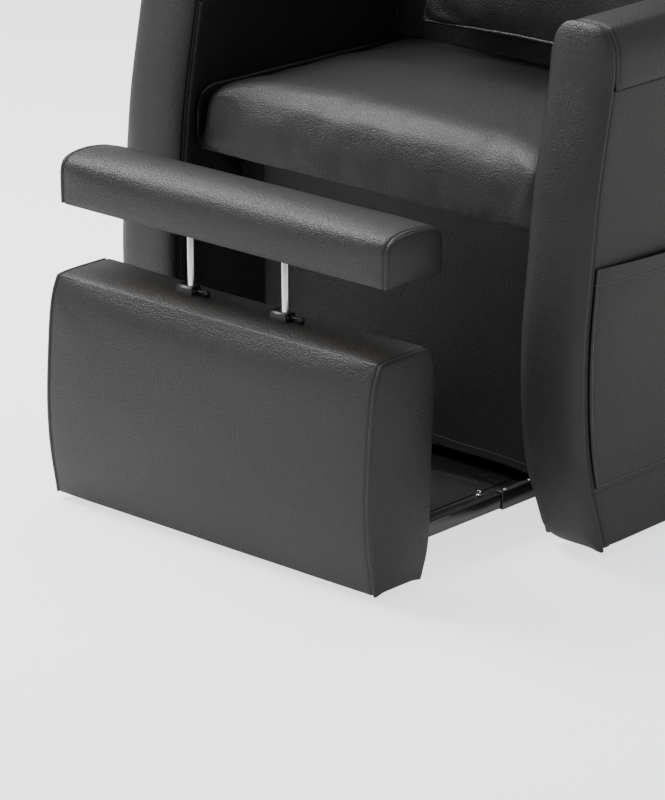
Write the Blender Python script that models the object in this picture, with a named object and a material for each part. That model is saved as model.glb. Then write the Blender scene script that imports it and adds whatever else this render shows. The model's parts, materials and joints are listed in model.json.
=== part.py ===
"""Pedicure spa chair: an upholstered club chair with a slide-out tray that carries
a front box and a height-adjustable footrest pad.

Metres, +Z up. +X is the right of someone facing the chair, -Y is its front, and the
origin is on the floor under the middle of the overall box. The rest pose has the tray
pulled out and the footrest raised.
"""
import math

import bmesh
import bpy
from mathutils import Matrix, Vector

# ---------------------------------------------------------------- driving dimensions
WIDTH = 0.826            # across the fronts of the two arms
ARM_WIDTH = 0.102        # one arm, side to side
ARM_TOP = 0.714          # top of the arms above the floor
ARM_LIFT = 0.018         # underside of the arms above the floor
BACK_TOP = 1.045         # top of the back above the floor
BACK_TILT = math.radians(9.0)
BOX_LEAD = 0.261         # how far the pulled-out box stands in front of the arms
TRAY_TRAVEL = 0.160      # how far the tray can be pushed in with the footrest raised

BOX_WIDTH = 0.585
BOX_HEIGHT = 0.307
BOX_DEPTH = 0.125        # at the bulge, between the front and the back of the box
BOX_LIFT = 0.012         # underside of the box above the floor
COVER = 0.008            # foam and vinyl over the wooden parts
PLY = 0.012              # plywood of the box and of the boards
MOUTH_FRONT = 0.030      # opening under the box, behind the front of the box
MOUTH_REAR = 0.089

PAD_WIDTH = 0.585
PAD_DEPTH = 0.103
PAD_THICK = 0.069
PAD_LIFT = 0.093         # underside of the raised pad above the box
PAD_RIM = 0.012          # padding round the footrest board
POST_R = 0.005
POST_SPACING = 0.168
POST_BELOW = 0.165       # post left below the top of the box when the pad is raised

SEAT_BOTTOM = 0.427
SEAT_THICK = 0.090
SEAT_INSET = 0.047       # seat front behind the arm fronts
SEAT_DEPTH = 0.395       # visible seat, front to the inner back
BACK_THICK = 0.145
BACK_PADDING = 0.030     # foam in front of and over the back frame
BACK_CLEAR = 0.006       # inner back above the seat, and frame below the padding
BACK_RIM = 0.050         # width of the back frame's timbers
OUTER_BACK_THICK = 0.010
OUTER_BACK_START = 0.004 # lower edge of the outer back above the seat's underside
OUTER_BACK_DROP = 0.020  # top of the outer back below the top of the back
ARM_SHORT = 0.100        # arms' rear ends in front of the back's rearmost point
PANEL_INSET = 0.113      # front panel behind the arm fronts
PANEL_WIDTH = 0.485
PANEL_BOTTOM = 0.066
REAR_PANEL_BOTTOM = 0.036
PANEL_THICK = 0.016      # front panel and rear panel, board and padding
BASE_BAR = 0.030         # steel bars of the base
BASE_SIDE = 0.090        # flanges from the base to the arms
SEAT_RIM = 0.045         # timbers of the seat frame
SEAT_RAIL = 0.060        # their height
SEAT_ROUND = 0.036       # rounding of the seat's front edge
SPRING_END = 0.015       # end of a groove inside the seat frame's edge
SEAT_WIRE_R = 0.0018
PILLOW_WIDTH = 0.420
PILLOW_HEIGHT = 0.400
PILLOW_THICK = 0.060
PILLOW_GAP = 0.052       # pillow's lower edge above the seat
PILLOW_EDGE = 0.006

TRAY_WIDTH = 0.500       # over the runners' outer faces
TRAY_LENGTH = 0.415
RAIL_TOP = 0.060         # top of the runners above the floor
RAIL_HEIGHT = 0.020
RUNNER_THICK = 0.012
RAIL_LIP = 0.009         # fixed rail's lips, over and under the runner
RAIL_START = 0.047       # fixed rails behind the arm fronts
PAN_DEPTH = 0.012        # top of the runners to the underside of the pan
SHEET = 0.002            # steel of the tray, the rails and the brackets
BATH_WIDTH = 0.416       # raised flat of the pan, which a foot bath stands on
BATH_RISE = 0.001
BRACKET_WIDTH = 0.360
BRACKET_FOOT = 0.024
BRACKET_HEIGHT = 0.030

WHEEL_R = 0.016
WHEEL_WIDTH = 0.018
WHEEL_SPACING = 0.400
FORK_DEPTH = 0.024
FORK_TAB = 0.014
PIN_R = 0.003            # axles of the wheels and the rollers
PIN_PLAY = 0.0001
ROLLER_WALL = 0.003      # runner left behind a roller
ROLLER_NOTCH = 0.026
BOLT_R = 0.0035
BOLT_LENGTH = 0.019
BOLT_HEAD_R = 0.0065
BOLT_HEAD = 0.006
BOLT_INSET = 0.016       # bolts inside the runners
BOLT_BEHIND = 0.036      # bolts behind the arm fronts
GLIDE_R = 0.018
POCKET_MOUTH = 0.005
POCKET_PANEL = 0.003
POCKET_BORDER = 0.010    # sewn border
POCKET_INSET = 0.048     # pocket inside the arm's front and rear
POCKET_LOW = 0.106       # lower edge and hem above the floor
POCKET_HEM = 0.402

# ---------------------------------------------------------------- fits
GAP = 0.0003             # faces that touch on the real chair
RUN = 0.0004             # clearance all round a sliding or turning fit
SIDE_GAP = 0.003         # soft pieces beside each other

# ---------------------------------------------------------------- places that follow
BACK_RISE = (BACK_TOP - SEAT_BOTTOM) / math.cos(BACK_TILT)
BACK_REACH = BACK_THICK * math.cos(BACK_TILT) + (BACK_RISE - OUTER_BACK_DROP) * math.sin(BACK_TILT)
LENGTH = BOX_LEAD + SEAT_INSET + SEAT_DEPTH + BACK_REACH
BOX_FRONT = -LENGTH / 2
BACK_END = LENGTH / 2
ARM_FRONT = BOX_FRONT + BOX_LEAD
ARM_OUT = WIDTH / 2
ARM_IN = ARM_OUT - ARM_WIDTH
ARM_MID = ARM_OUT - ARM_WIDTH / 2
SEAT_FRONT = ARM_FRONT + SEAT_INSET
INNER_BACK = SEAT_FRONT + SEAT_DEPTH
PANEL_Y = ARM_FRONT + PANEL_INSET
BOX_TOP = BOX_LIFT + BOX_HEIGHT
PAD_BOTTOM = BOX_TOP + PAD_LIFT
PAD_FRONT = BOX_FRONT + 0.034
POST_Y = BOX_FRONT + 0.070
WHEEL_Y = BOX_FRONT + 0.058
TRAY_FRONT = BOX_FRONT + BOX_DEPTH + 0.002
TRAY_BACK = TRAY_FRONT + TRAY_LENGTH
PAN_LOW = RAIL_TOP - PAN_DEPTH
PAN_FLOOR = PAN_LOW + SHEET
BRACKET_Y = TRAY_FRONT + SHEET + 0.0005

FORK_TOP = 2 * WHEEL_R + 0.004 + SHEET
ROLLER_R = RAIL_HEIGHT / 2 - RUN

# arm build-up, outside to inside
SKIN = 0.009             # padded side covers
SIDE_SETBACK = 0.005     # side covers inside the front strip's edge
STRIP = 0.014            # front strip, front to back
ARM_RIM = 0.055          # timbers of the arm frames
ARM_SHELL_IN = ARM_IN + GAP
ARM_BACK = BACK_END - ARM_SHORT
ARM_PAD_BOTTOM = ARM_TOP - 0.082

# post guides: a collar on the box, a sleeve through it and a sliding latch inside
GUIDE_LEFT = 0.0195
GUIDE_RIGHT = 0.0085
GUIDE_DEPTH = 0.018
GUIDE_HEIGHT = 0.014
GUIDE_BEVEL = 0.003
FLANGE = 0.0025
FLANGE_RIGHT = 0.038
FLANGE_RIM = 0.0012
SLEEVE_R = 0.008
SLEEVE_LENGTH = 0.060
LATCH_Z = 0.008          # middle of the latch above the box top
LATCH_HEIGHT = 0.0052
LATCH_DEPTH = 0.0138
LATCH_TRAVEL = 0.004
LATCH_WALL = 0.0016
KNOB_R = 0.0047
KNOB_X = 0.028
STEM_R = 0.002
SPRING_R = 0.0019
SPRING_WIRE = 0.0004
SPRING_TURNS = 5

# footrest hardware
PLATE = 0.003
PLATE_LENGTH = 0.230
PLATE_WIDTH = 0.040
SCREW_R = 0.002
SCREW_HEAD_R = 0.0042
SCREW_HEAD = 0.0022
SCREW_LENGTH = 0.012
LIFT_TRAVEL = PAD_LIFT - GUIDE_HEIGHT - 0.003

# front box outline: distance behind its front, height as a share of BOX_HEIGHT
BOX_FACE = [(0.014, 0.0), (0.003, 0.21), (0.0, 0.43), (0.005, 0.72), (0.012, 0.90), (0.024, 0.99)]
BOX_FLAT = (0.034, 0.112)
BOX_REAR = [(0.1235, 0.958), (0.125, 0.85), (0.1195, 0.5), (0.1165, 0.18), (0.110, 0.07), (0.101, 0.0)]

# arm front outline: distance behind ARM_FRONT, height as a share of the arm's height
ARM_FACE = [(0.048, 0.0), (0.034, 0.062), (0.012, 0.16), (0.001, 0.28), (0.0, 0.415),
            (0.009, 0.546), (0.020, 0.693), (0.045, 0.88), (0.048, 0.927), (0.049, 1.0)]

# ---------------------------------------------------------------- finishes
FINISHES = {
    "vinyl": ((0.030, 0.030, 0.031), 0.45, 0.0),
    "wood": ((0.52, 0.37, 0.22), 0.65, 0.0),
    "black_steel": ((0.018, 0.018, 0.020), 0.25, 0.6),
    "zinc": ((0.62, 0.62, 0.60), 0.35, 1.0),
    "chrome": ((0.80, 0.80, 0.82), 0.08, 1.0),
    "plastic": ((0.015, 0.015, 0.016), 0.35, 0.0),
    "nylon": ((0.75, 0.74, 0.70), 0.45, 0.0),
    "spring_steel": ((0.30, 0.30, 0.31), 0.40, 1.0),
}


def clear_scene():
    for old in list(bpy.data.objects):
        bpy.data.objects.remove(old, do_unlink=True)


def finish(key):
    """The shared settings of a finish, as a Principled material of the object's own."""
    colour, rough, metal = FINISHES[key]
    material = bpy.data.materials.new(key)
    material.use_nodes = True
    shader = material.node_tree.nodes["Principled BSDF"]
    shader.inputs["Base Color"].default_value = (*colour, 1.0)
    shader.inputs["Roughness"].default_value = rough
    shader.inputs["Metallic"].default_value = metal
    return material


def add(name, bm, key=None):
    """Make an object from a bmesh, with its faces turned outwards."""
    bmesh.ops.recalc_face_normals(bm, faces=bm.faces)
    mesh = bpy.data.meshes.new(name)
    bm.to_mesh(mesh)
    bm.free()
    obj = bpy.data.objects.new(name, mesh)
    bpy.context.scene.collection.objects.link(obj)
    if key:
        mesh.materials.append(finish(key))
    return obj


def prism(name, outline, low, high, axis, key=None):
    """Extrude a closed outline along an axis; the outline holds the other two in order."""
    place = {"X": lambda a, b, c: (c, a, b), "Y": lambda a, b, c: (a, c, b), "Z": lambda a, b, c: (a, b, c)}
    bm = bmesh.new()
    ends = []
    for level in (low, high):
        ends.append([bm.verts.new(place[axis](a, b, level)) for a, b in outline])
    bm.faces.new(ends[0])
    bm.faces.new(ends[1])
    count = len(outline)
    for i in range(count):
        j = (i + 1) % count
        bm.faces.new((ends[0][i], ends[0][j], ends[1][j], ends[1][i]))
    return add(name, bm, key)


def block(name, low, high, key=None):
    outline = [(low[0], low[1]), (high[0], low[1]), (high[0], high[1]), (low[0], high[1])]
    return prism(name, outline, low[2], high[2], "Z", key)


def rod(name, centre, radius, length, axis, key=None, sides=20):
    """A cylinder about an axis through its middle."""
    bm = bmesh.new()
    bmesh.ops.create_cone(bm, cap_ends=True, segments=sides, radius1=radius, radius2=radius, depth=length)
    turn = {"X": Matrix.Rotation(math.pi / 2, 4, "Y"), "Y": Matrix.Rotation(math.pi / 2, 4, "X"),
            "Z": Matrix()}
    bmesh.ops.transform(bm, matrix=Matrix.Translation(centre) @ turn[axis], verts=bm.verts)
    return smooth(add(name, bm, key))


def smooth(obj):
    obj.data.shade_smooth()
    obj.data.set_sharp_from_angle(angle=math.radians(35))
    return obj


def guide_object(obj):
    obj.hide_render = True
    obj.display_type = "WIRE"
    return obj


def combine(obj, other, operation):
    """Boolean by a cutter object that isn't part of the model."""
    guide_object(other)
    step = obj.modifiers.new(operation.lower(), "BOOLEAN")
    step.operation = operation
    step.object = other
    step.solver = "EXACT"
    return obj


def cut(obj, *cutters):
    for cutter in cutters:
        combine(obj, cutter, "DIFFERENCE")
    return obj


def join(obj, *others):
    for other in others:
        combine(obj, other, "UNION")
    return obj


def arc(centre, radii, start, end, steps):
    """Points on an ellipse, angles in degrees, first and last included."""
    points = []
    for i in range(steps + 1):
        angle = math.radians(start + (end - start) * i / steps)
        points.append((centre[0] + radii[0] * math.cos(angle), centre[1] + radii[1] * math.sin(angle)))
    return points


def flow(keys, steps):
    """A smooth curve through the key points, with a few points on each span."""
    points = []
    last = len(keys) - 1
    for i in range(last):
        before, here, there, after = (keys[max(i - 1, 0)], keys[i], keys[i + 1], keys[min(i + 2, last)])
        for k in range(steps):
            t = k / steps
            point = []
            for a, b, c, d in zip(before, here, there, after):
                bend = 2 * a - 5 * b + 4 * c - d
                point.append(b + 0.5 * t * (c - a + t * (bend + t * (3 * (b - c) + d - a))))
            points.append(tuple(point))
    points.append(tuple(keys[-1]))
    return points


def inset(outline, distance):
    """Move every side of a closed outline inwards, and leave out the points that would cross over."""
    closed = list(zip(outline, outline[1:] + outline[:1]))
    area = sum(a[0] * b[1] - b[0] * a[1] for a, b in closed)
    side = 1 if area > 0 else -1
    moved = []
    for i, point in enumerate(outline):
        here = Vector(point)
        before = (here - Vector(outline[i - 1])).normalized()
        after = (Vector(outline[(i + 1) % len(outline)]) - here).normalized()
        normal_a = Vector((-before.y, before.x)) * side
        normal_b = Vector((-after.y, after.x)) * side
        middle = (normal_a + normal_b).normalized()
        new = here + middle * (distance / max(middle.dot(normal_a), 0.3))
        if min(away(new, a, b) for a, b in closed) > distance * 0.98:
            moved.append(tuple(new))
    return moved


def width_at(outline, level):
    """Where a level line crosses a closed outline: its lowest and highest first coordinate."""
    found = []
    for (ya, za), (yb, zb) in zip(outline, outline[1:] + outline[:1]):
        if za != zb and min(za, zb) <= level <= max(za, zb):
            found.append(ya + (yb - ya) * (level - za) / (zb - za))
    return min(found), max(found)


def away(point, start, end):
    """Distance from a point to a straight stretch."""
    start = Vector(start)
    run = Vector(end) - start
    share = max(0.0, min(1.0, (point - start).dot(run) / run.length_squared))
    return (point - start - run * share).length


# ---------------------------------------------------------------- arms
def arm_face(setback):
    """The arm's curved front edge as (y, z), bottom to top, moved back by the setback."""
    height = ARM_TOP - ARM_LIFT
    return [(ARM_FRONT + y + setback, ARM_LIFT + share * height) for y, share in flow(ARM_FACE, 3)]


def arm_arch(side, inset_by):
    """Outline (x, z) of the arm seen from the front, with its rounded top."""
    outer = ARM_OUT - inset_by
    inner = ARM_IN + GAP
    top = ARM_TOP - inset_by
    outer_r = (0.030, 0.045)
    inner_r = (0.036, 0.055)
    points = [(inner, ARM_LIFT), (outer, ARM_LIFT)]
    points += arc((outer - outer_r[0], top - outer_r[1]), outer_r, 0, 90, 6)
    points += arc((inner + inner_r[0], top - inner_r[1]), inner_r, 90, 180, 6)
    return [(side * x, z) for x, z in points]


def arm_strip(side, word):
    back = [(y, z) for y, z in reversed(arm_face(STRIP))]
    strip = prism("arm_front_" + word, arm_face(0) + back, -1, 1, "X", "vinyl")
    arch = prism("arch_guide_" + word, arm_arch(side, 0), ARM_FRONT - 0.1, ARM_FRONT + 0.3, "Y")
    return combine(strip, arch, "INTERSECT")


def side_outline(low, high):
    """The arm's side between two heights, behind the front strip, as (y, z)."""
    edge = arm_face(STRIP + GAP)
    front = [point for point in edge if low < point[1] < high]
    ends = [(width_at(edge, level)[0], level) for level in (low, high)]
    return ends[:1] + front + ends[1:] + [(ARM_BACK, high), (ARM_BACK, low)]


def arm_covers(side, word):
    low = ARM_LIFT + 0.0005
    high = ARM_PAD_BOTTOM - GAP
    outer = sorted((side * (ARM_OUT - SIDE_SETBACK), side * (ARM_OUT - SIDE_SETBACK - SKIN)))
    inner = sorted((side * ARM_SHELL_IN, side * (ARM_SHELL_IN + SKIN)))
    cover = prism("arm_outer_" + word, side_outline(low, high), *outer, "X", "vinyl")
    prism("arm_inner_" + word, side_outline(low, high), *inner, "X", "vinyl")
    xs = sorted((side * (ARM_SHELL_IN + SKIN + GAP), side * (ARM_OUT - SIDE_SETBACK - 0.002)))
    end = block("arm_end_" + word, (xs[0], ARM_BACK - SKIN, low), (xs[1], ARM_BACK, high))
    join(cover, end)


def arm_top(side, word):
    front = ARM_FRONT + ARM_FACE[-1][0] + STRIP + GAP
    pad = prism("arm_top_" + word, arm_arch(side, 0.001), front, ARM_BACK, "Y", "vinyl")
    below = block("arm_top_cut_" + word, (-1, -1, -0.1), (1, 1, ARM_PAD_BOTTOM))
    return cut(pad, below)


def arm_frame(side, word):
    """A wooden ring between the two covers, which carries the seat and the rails."""
    front = ARM_FRONT + ARM_FACE[0][0] + STRIP + 0.004
    near = ARM_SHELL_IN + SKIN + GAP
    far = ARM_OUT - SIDE_SETBACK - SKIN - GAP
    xs = sorted((side * near, side * far))
    low = ARM_LIFT + 0.0005
    high = ARM_PAD_BOTTOM - GAP
    rim = ARM_RIM
    back = ARM_BACK - SKIN - GAP
    frame = block("arm_frame_" + word, (xs[0], front, low), (xs[1], back, high), "wood")
    window = block("arm_window_" + word, (-1, front + rim, low + rim), (1, back - rim, high - rim))
    return cut(frame, window)


def side_pocket(side, word):
    """A panel on the outer side, closed at the front, back and bottom, open at its hem."""
    face = ARM_OUT - SIDE_SETBACK + GAP
    low, high = POCKET_LOW, POCKET_HEM
    front = ARM_FRONT + POCKET_INSET
    back = ARM_BACK - POCKET_INSET
    border = POCKET_BORDER
    xs = sorted((side * face, side * (face + POCKET_MOUTH + POCKET_PANEL)))
    hollow = sorted((side * (face - 0.01), side * (face + POCKET_MOUTH)))
    panel = block("side_pocket_" + word, (xs[0], front, low), (xs[1], back, high), "vinyl")
    space = block("pocket_space_" + word, (hollow[0], front + border, low + border),
                  (hollow[1], back - border, high + 0.01))
    return cut(panel, space)


def glides():
    ends = {"front": ARM_FRONT + 0.110, "rear": ARM_BACK - 0.050}
    for word, side in (("left", -1), ("right", 1)):
        for end, y in ends.items():
            rod("glide_%s_%s" % (end, word), (side * ARM_MID, y, ARM_LIFT / 2),
                GLIDE_R, ARM_LIFT, "Z", "plastic", 24)


# ---------------------------------------------------------------- seat, panel and base
def seat_cushion():
    top = SEAT_BOTTOM + SEAT_THICK
    back = INNER_BACK + 0.045
    turn = SEAT_ROUND
    outline = [(SEAT_FRONT + 0.006, SEAT_BOTTOM), (SEAT_FRONT, SEAT_BOTTOM + 0.014)]
    outline += arc((SEAT_FRONT + turn, top - turn), (turn, turn), 180, 90, 5)
    outline += [(back, top - 0.006), (back, SEAT_BOTTOM)]
    half = ARM_IN - SIDE_GAP
    return prism("seat_cushion", outline, -half, half, "X", "vinyl")


def seat_frame():
    """A wooden ring under the cushion, with grooves for the springs."""
    half = ARM_IN - GAP
    front = PANEL_Y + 0.030
    back = INNER_BACK + 0.010
    top = SEAT_BOTTOM - GAP
    rim = SEAT_RIM
    frame = block("seat_frame", (-half, front, top - SEAT_RAIL), (half, back, top), "wood")
    hole = block("seat_frame_hole", (-half + rim, front + rim, 0), (half - rim, back - rim, 1))
    cut(frame, hole)
    wire = SEAT_WIRE_R
    start = front + SPRING_END
    end = back - SPRING_END
    groove = wire + GAP
    for i, x in enumerate(spring_places()):
        slot = block("spring_groove_%d" % i, (x - groove, start, top - 0.012), (x + groove, end, top + 0.01))
        cut(frame, slot)
        seat_spring(i, x, start + GAP, end - GAP, front + rim, back - rim, wire, top)


def spring_places():
    half = ARM_IN - SEAT_RIM
    return [half * share for share in (-0.6, 0.0, 0.6)]


def seat_spring(index, x, start, end, first, last, wire, top):
    """A flat zigzag wire from rail to rail."""
    waves = 7
    reach = 0.030
    z = top - 0.012 + wire + GAP
    path = [Vector((x, start, z)), Vector((x, first + 0.010, z))]
    run = last - first - 0.040
    for k in range(waves):
        swing = reach if k % 2 == 0 else -reach
        for part in (0.25, 0.75):
            path.append(Vector((x + swing, first + 0.020 + run * (k + part) / waves, z)))
    path += [Vector((x, last - 0.010, z)), Vector((x, end, z))]
    tube("seat_spring_%d" % (index + 1), path, wire, 6, "spring_steel")


def tube(name, path, radius, sides, key):
    """Sweep a round section along a path, with flat ends."""
    bm = bmesh.new()
    rings = []
    last = len(path) - 1
    side = None
    for i, point in enumerate(path):
        along = (path[min(i + 1, last)] - path[max(i - 1, 0)]).normalized()
        if side is None:
            side = along.orthogonal().normalized()
        side = (side - along * side.dot(along)).normalized()
        up = along.cross(side)
        ring = []
        for k in range(sides):
            angle = 2 * math.pi * k / sides
            ring.append(bm.verts.new(point + radius * (math.cos(angle) * side + math.sin(angle) * up)))
        rings.append(ring)
    bm.faces.new(rings[0])
    bm.faces.new(rings[-1])
    for low, high in zip(rings, rings[1:]):
        for k in range(sides):
            m = (k + 1) % sides
            bm.faces.new((low[k], low[m], high[m], high[k]))
    return smooth(add(name, bm, key))


def front_panel():
    half = PANEL_WIDTH / 2
    return block("front_panel", (-half, PANEL_Y, PANEL_BOTTOM),
                 (half, PANEL_Y + PANEL_THICK, SEAT_BOTTOM - GAP), "vinyl")


def base_frame():
    """Two cross members and two stretchers above the tray, with rails hung under them."""
    half = ARM_IN - GAP
    low = rail_top() + GAP
    high = low + BASE_BAR
    front = PANEL_Y + PANEL_THICK + GAP
    back = ARM_BACK - PANEL_THICK - GAP
    frame = block("base_frame", (-half, front, low), (half, back, high), "black_steel")
    side = half - BASE_SIDE
    opening = block("base_opening", (-side, front + BASE_BAR, 0), (side, back - BASE_BAR, 1))
    return cut(frame, opening)


def rail_top():
    return RAIL_TOP + RUN + SHEET


def fixed_rails():
    """C-shaped channels, open towards the tray, that the runners slide in."""
    front = ARM_FRONT + RAIL_START
    back = ARM_BACK - PANEL_THICK - GAP
    bottom = RAIL_TOP - RAIL_HEIGHT - RUN - SHEET
    for word, side in (("left", -1), ("right", 1)):
        web = TRAY_WIDTH / 2 + RUN
        xs = sorted((side * (web - RAIL_LIP), side * (web + SHEET)))
        inner = sorted((side * (web - 2 * RAIL_LIP), side * web))
        rail = block("fixed_rail_" + word, (xs[0], front, bottom), (xs[1], back, rail_top()),
                     "black_steel")
        channel = block("channel_" + word, (inner[0], front - 0.01, bottom + SHEET),
                        (inner[1], back + 0.01, rail_top() - SHEET))
        cut(rail, channel)


# ---------------------------------------------------------------- back
def back_group():
    """Everything in the back leans with this parent, pivoted at the seat."""
    pivot = bpy.data.objects.new("back_lean", None)
    pivot.location = (0, INNER_BACK, SEAT_BOTTOM)
    pivot.rotation_euler = (-BACK_TILT, 0, 0)
    bpy.context.scene.collection.objects.link(pivot)
    rise = BACK_RISE
    half = ARM_IN - SIDE_GAP
    seat_top = SEAT_THICK + BACK_CLEAR
    core_front = BACK_PADDING + GAP
    core_back = BACK_THICK - OUTER_BACK_THICK - GAP
    core_top = rise - BACK_PADDING - BACK_CLEAR
    front_r = BACK_PADDING
    rear_r = 0.4 * BACK_PADDING
    inner_line = [(0, seat_top)] + arc((front_r, rise - front_r), (front_r, front_r), 180, 90, 4)
    inner_line += arc((core_back - rear_r, rise - rear_r), (rear_r, rear_r), 90, 0, 3)
    inner_line += [(core_back, seat_top)]
    outer_front = BACK_THICK - OUTER_BACK_THICK
    outer_top = rise - OUTER_BACK_DROP
    outer_line = [(outer_front, OUTER_BACK_START), (BACK_THICK, OUTER_BACK_START), (BACK_THICK, outer_top),
                  (outer_front, outer_top)]
    pieces = [
        prism("inner_back", inner_line, -half, half, "X", "vinyl"),
        prism("outer_back", outer_line, -half, half, "X", "vinyl"),
    ]
    space = block("back_space", (-half + COVER, BACK_PADDING, -1), (half - COVER, 1, core_top + GAP))
    cut(pieces[0], space)
    side = half - COVER - GAP
    frame = block("back_frame", (-side, core_front, seat_top), (side, core_back, core_top), "wood")
    rim = BACK_RIM
    window = block("back_window", (-half + rim, -1, seat_top + rim), (half - rim, 1, core_top - rim))
    cut(frame, window)
    low = SEAT_THICK + PILLOW_GAP
    crown = PILLOW_THICK / 2
    face = [(-GAP, low + PILLOW_EDGE), (-GAP, low + PILLOW_HEIGHT - PILLOW_EDGE)]
    face += arc((-crown - GAP, low + PILLOW_HEIGHT / 2), (crown, PILLOW_HEIGHT / 2), 75, 285, 8)
    pillow = prism("back_pillow", face, -PILLOW_WIDTH / 2, PILLOW_WIDTH / 2, "X", "vinyl")
    for piece in pieces + [space, frame, window, pillow]:
        piece.parent = pivot


def lower_back():
    """The upright padded board below the leaning back."""
    half = ARM_IN - GAP
    top = SEAT_BOTTOM - BACK_THICK * math.sin(BACK_TILT) - GAP
    block("rear_panel", (-half, ARM_BACK - PANEL_THICK, REAR_PANEL_BOTTOM), (half, ARM_BACK, top), "vinyl")


# ---------------------------------------------------------------- front box
def box_outline():
    """The box's side as (y, z), bulging at the front and tucked in at the bottom."""
    def place(keys, steps):
        return [(BOX_FRONT + y, BOX_LIFT + share * BOX_HEIGHT) for y, share in flow(keys, steps)]

    top = [(BOX_FRONT + start, BOX_TOP) for start in BOX_FLAT]
    return place(BOX_FACE, 3) + top + place(BOX_REAR, 2)


def front_box():
    half = BOX_WIDTH / 2
    outline = box_outline()
    cover = prism("box_cover", outline, -half, half, "X", "vinyl")
    core = inset(outline, COVER)
    hollow = prism("box_hollow", core, -half + COVER, half - COVER, "X")
    mouth = block("box_mouth", (-half + COVER, BOX_FRONT + MOUTH_FRONT - 0.004, BOX_LIFT - 0.01),
                  (half - COVER, BOX_FRONT + MOUTH_REAR + 0.003, BOX_LIFT + 0.03))
    cut(cover, hollow, mouth)
    frame_line = inset(core, GAP)
    frame_half = half - COVER - GAP
    frame = prism("box_frame", frame_line, -frame_half, frame_half, "X", "wood")
    room_line = inset(frame_line, PLY)
    room = prism("box_room", room_line, -frame_half + PLY, frame_half - PLY, "X")
    way_in = block("box_way_in", (-frame_half + PLY, BOX_FRONT + MOUTH_FRONT, BOX_LIFT - 0.01),
                   (frame_half - PLY, BOX_FRONT + MOUTH_REAR, FORK_TOP))
    cut(frame, room, way_in)
    floor_half = frame_half - PLY - GAP
    low = FORK_TOP + GAP
    ends = [width_at(room_line, level) for level in (low, low + PLY)]
    block("box_floor", (-floor_half, max(front for front, rear in ends) + GAP, low),
          (floor_half, min(rear for front, rear in ends) - GAP, low + PLY), "wood")
    for word, side in (("left", -1), ("right", 1)):
        x = side * POST_SPACING / 2
        for piece in (cover, frame):
            hole = rod("sleeve_hole_%s_%s" % (word, piece.name), (x, POST_Y, BOX_TOP - 0.02),
                       SLEEVE_R + GAP, 0.08, "Z", None, 24)
            cut(piece, hole)


def post_guide(side, word):
    x = side * POST_SPACING / 2
    top = BOX_TOP + GUIDE_HEIGHT
    half = GUIDE_DEPTH / 2
    bevel = GUIDE_BEVEL
    profile = [(-half, BOX_TOP + GAP), (half, BOX_TOP + GAP), (half, top - bevel), (half - bevel, top),
               (-half + bevel, top), (-half, top - bevel)]
    profile = [(POST_Y + y, z) for y, z in profile]
    guide = prism("post_guide_" + word, profile, x - GUIDE_LEFT, x + GUIDE_RIGHT, "X", "plastic")
    flange_x = x - GUIDE_LEFT - FLANGE_RIM
    flange_half = half + FLANGE_RIM
    flange_line = arc((x + FLANGE_RIGHT - SLEEVE_R, POST_Y), (SLEEVE_R, half), -90, 90, 6)
    flange_line += [(flange_x, POST_Y + flange_half), (flange_x, POST_Y - flange_half)]
    flange = prism("flange_" + word, flange_line, BOX_TOP + GAP, BOX_TOP + GAP + FLANGE, "Z")
    sleeve = rod("sleeve_" + word, (x, POST_Y, BOX_TOP - SLEEVE_LENGTH / 2 + 0.002),
                 SLEEVE_R, SLEEVE_LENGTH, "Z", None, 24)
    join(guide, flange, sleeve)
    bore = rod("guide_bore_" + word, (x, POST_Y, BOX_TOP), POST_R + RUN, 0.2, "Z", None, 24)
    mid = BOX_TOP + LATCH_Z
    tall = LATCH_HEIGHT / 2 + RUN
    deep = LATCH_DEPTH / 2 + RUN
    slot = block("latch_slot_" + word, (x - GUIDE_LEFT + 0.002, POST_Y - deep, mid - tall),
                 (x + GUIDE_RIGHT + 0.01, POST_Y + deep, mid + tall))
    return cut(guide, bore, slot)


def release_button(side, word):
    """A latch plate round the post, with a stem and a knob beside the collar."""
    x = side * POST_SPACING / 2
    mid = BOX_TOP + LATCH_Z
    slack = POST_R + RUN
    right = x + slack + LATCH_TRAVEL + LATCH_WALL
    left = x - slack - LATCH_WALL
    deep = LATCH_DEPTH / 2
    button = block("release_button_" + word, (left, POST_Y - deep, mid - LATCH_HEIGHT / 2),
                   (right, POST_Y + deep, mid + LATCH_HEIGHT / 2), "plastic")
    near = arc((x, POST_Y), (slack, slack), 90, 270, 8)
    far = arc((x + LATCH_TRAVEL, POST_Y), (slack, slack), -90, 90, 8)
    window = prism("latch_window_" + word, near + far, mid - 0.01, mid + 0.01, "Z")
    stem_end = x + KNOB_X
    stem = rod("button_stem_" + word, ((right - 0.001 + stem_end) / 2, POST_Y, mid), STEM_R,
               stem_end - right + 0.001, "X", None, 12)
    bm = bmesh.new()
    bmesh.ops.create_uvsphere(bm, u_segments=12, v_segments=8, radius=KNOB_R)
    bmesh.ops.translate(bm, verts=bm.verts, vec=(x + KNOB_X, POST_Y, mid))
    knob = add("button_knob_" + word, bm)
    cut(button, window)
    return join(button, stem, knob)


def latch_spring(side, word):
    """A small coil that pushes the latch back towards its knob."""
    x = side * POST_SPACING / 2
    start = x - GUIDE_LEFT + 0.002 + SPRING_WIRE + GAP
    end = x - POST_R - RUN - LATCH_WALL - SPRING_WIRE - GAP
    steps = SPRING_TURNS * 8
    path = []
    for i in range(steps + 1):
        angle = 2 * math.pi * SPRING_TURNS * i / steps
        path.append(Vector((start + (end - start) * i / steps, POST_Y + SPRING_R * math.cos(angle),
                            BOX_TOP + LATCH_Z + SPRING_R * math.sin(angle))))
    return tube("latch_spring_" + word, path, SPRING_WIRE, 5, "spring_steel")


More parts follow.
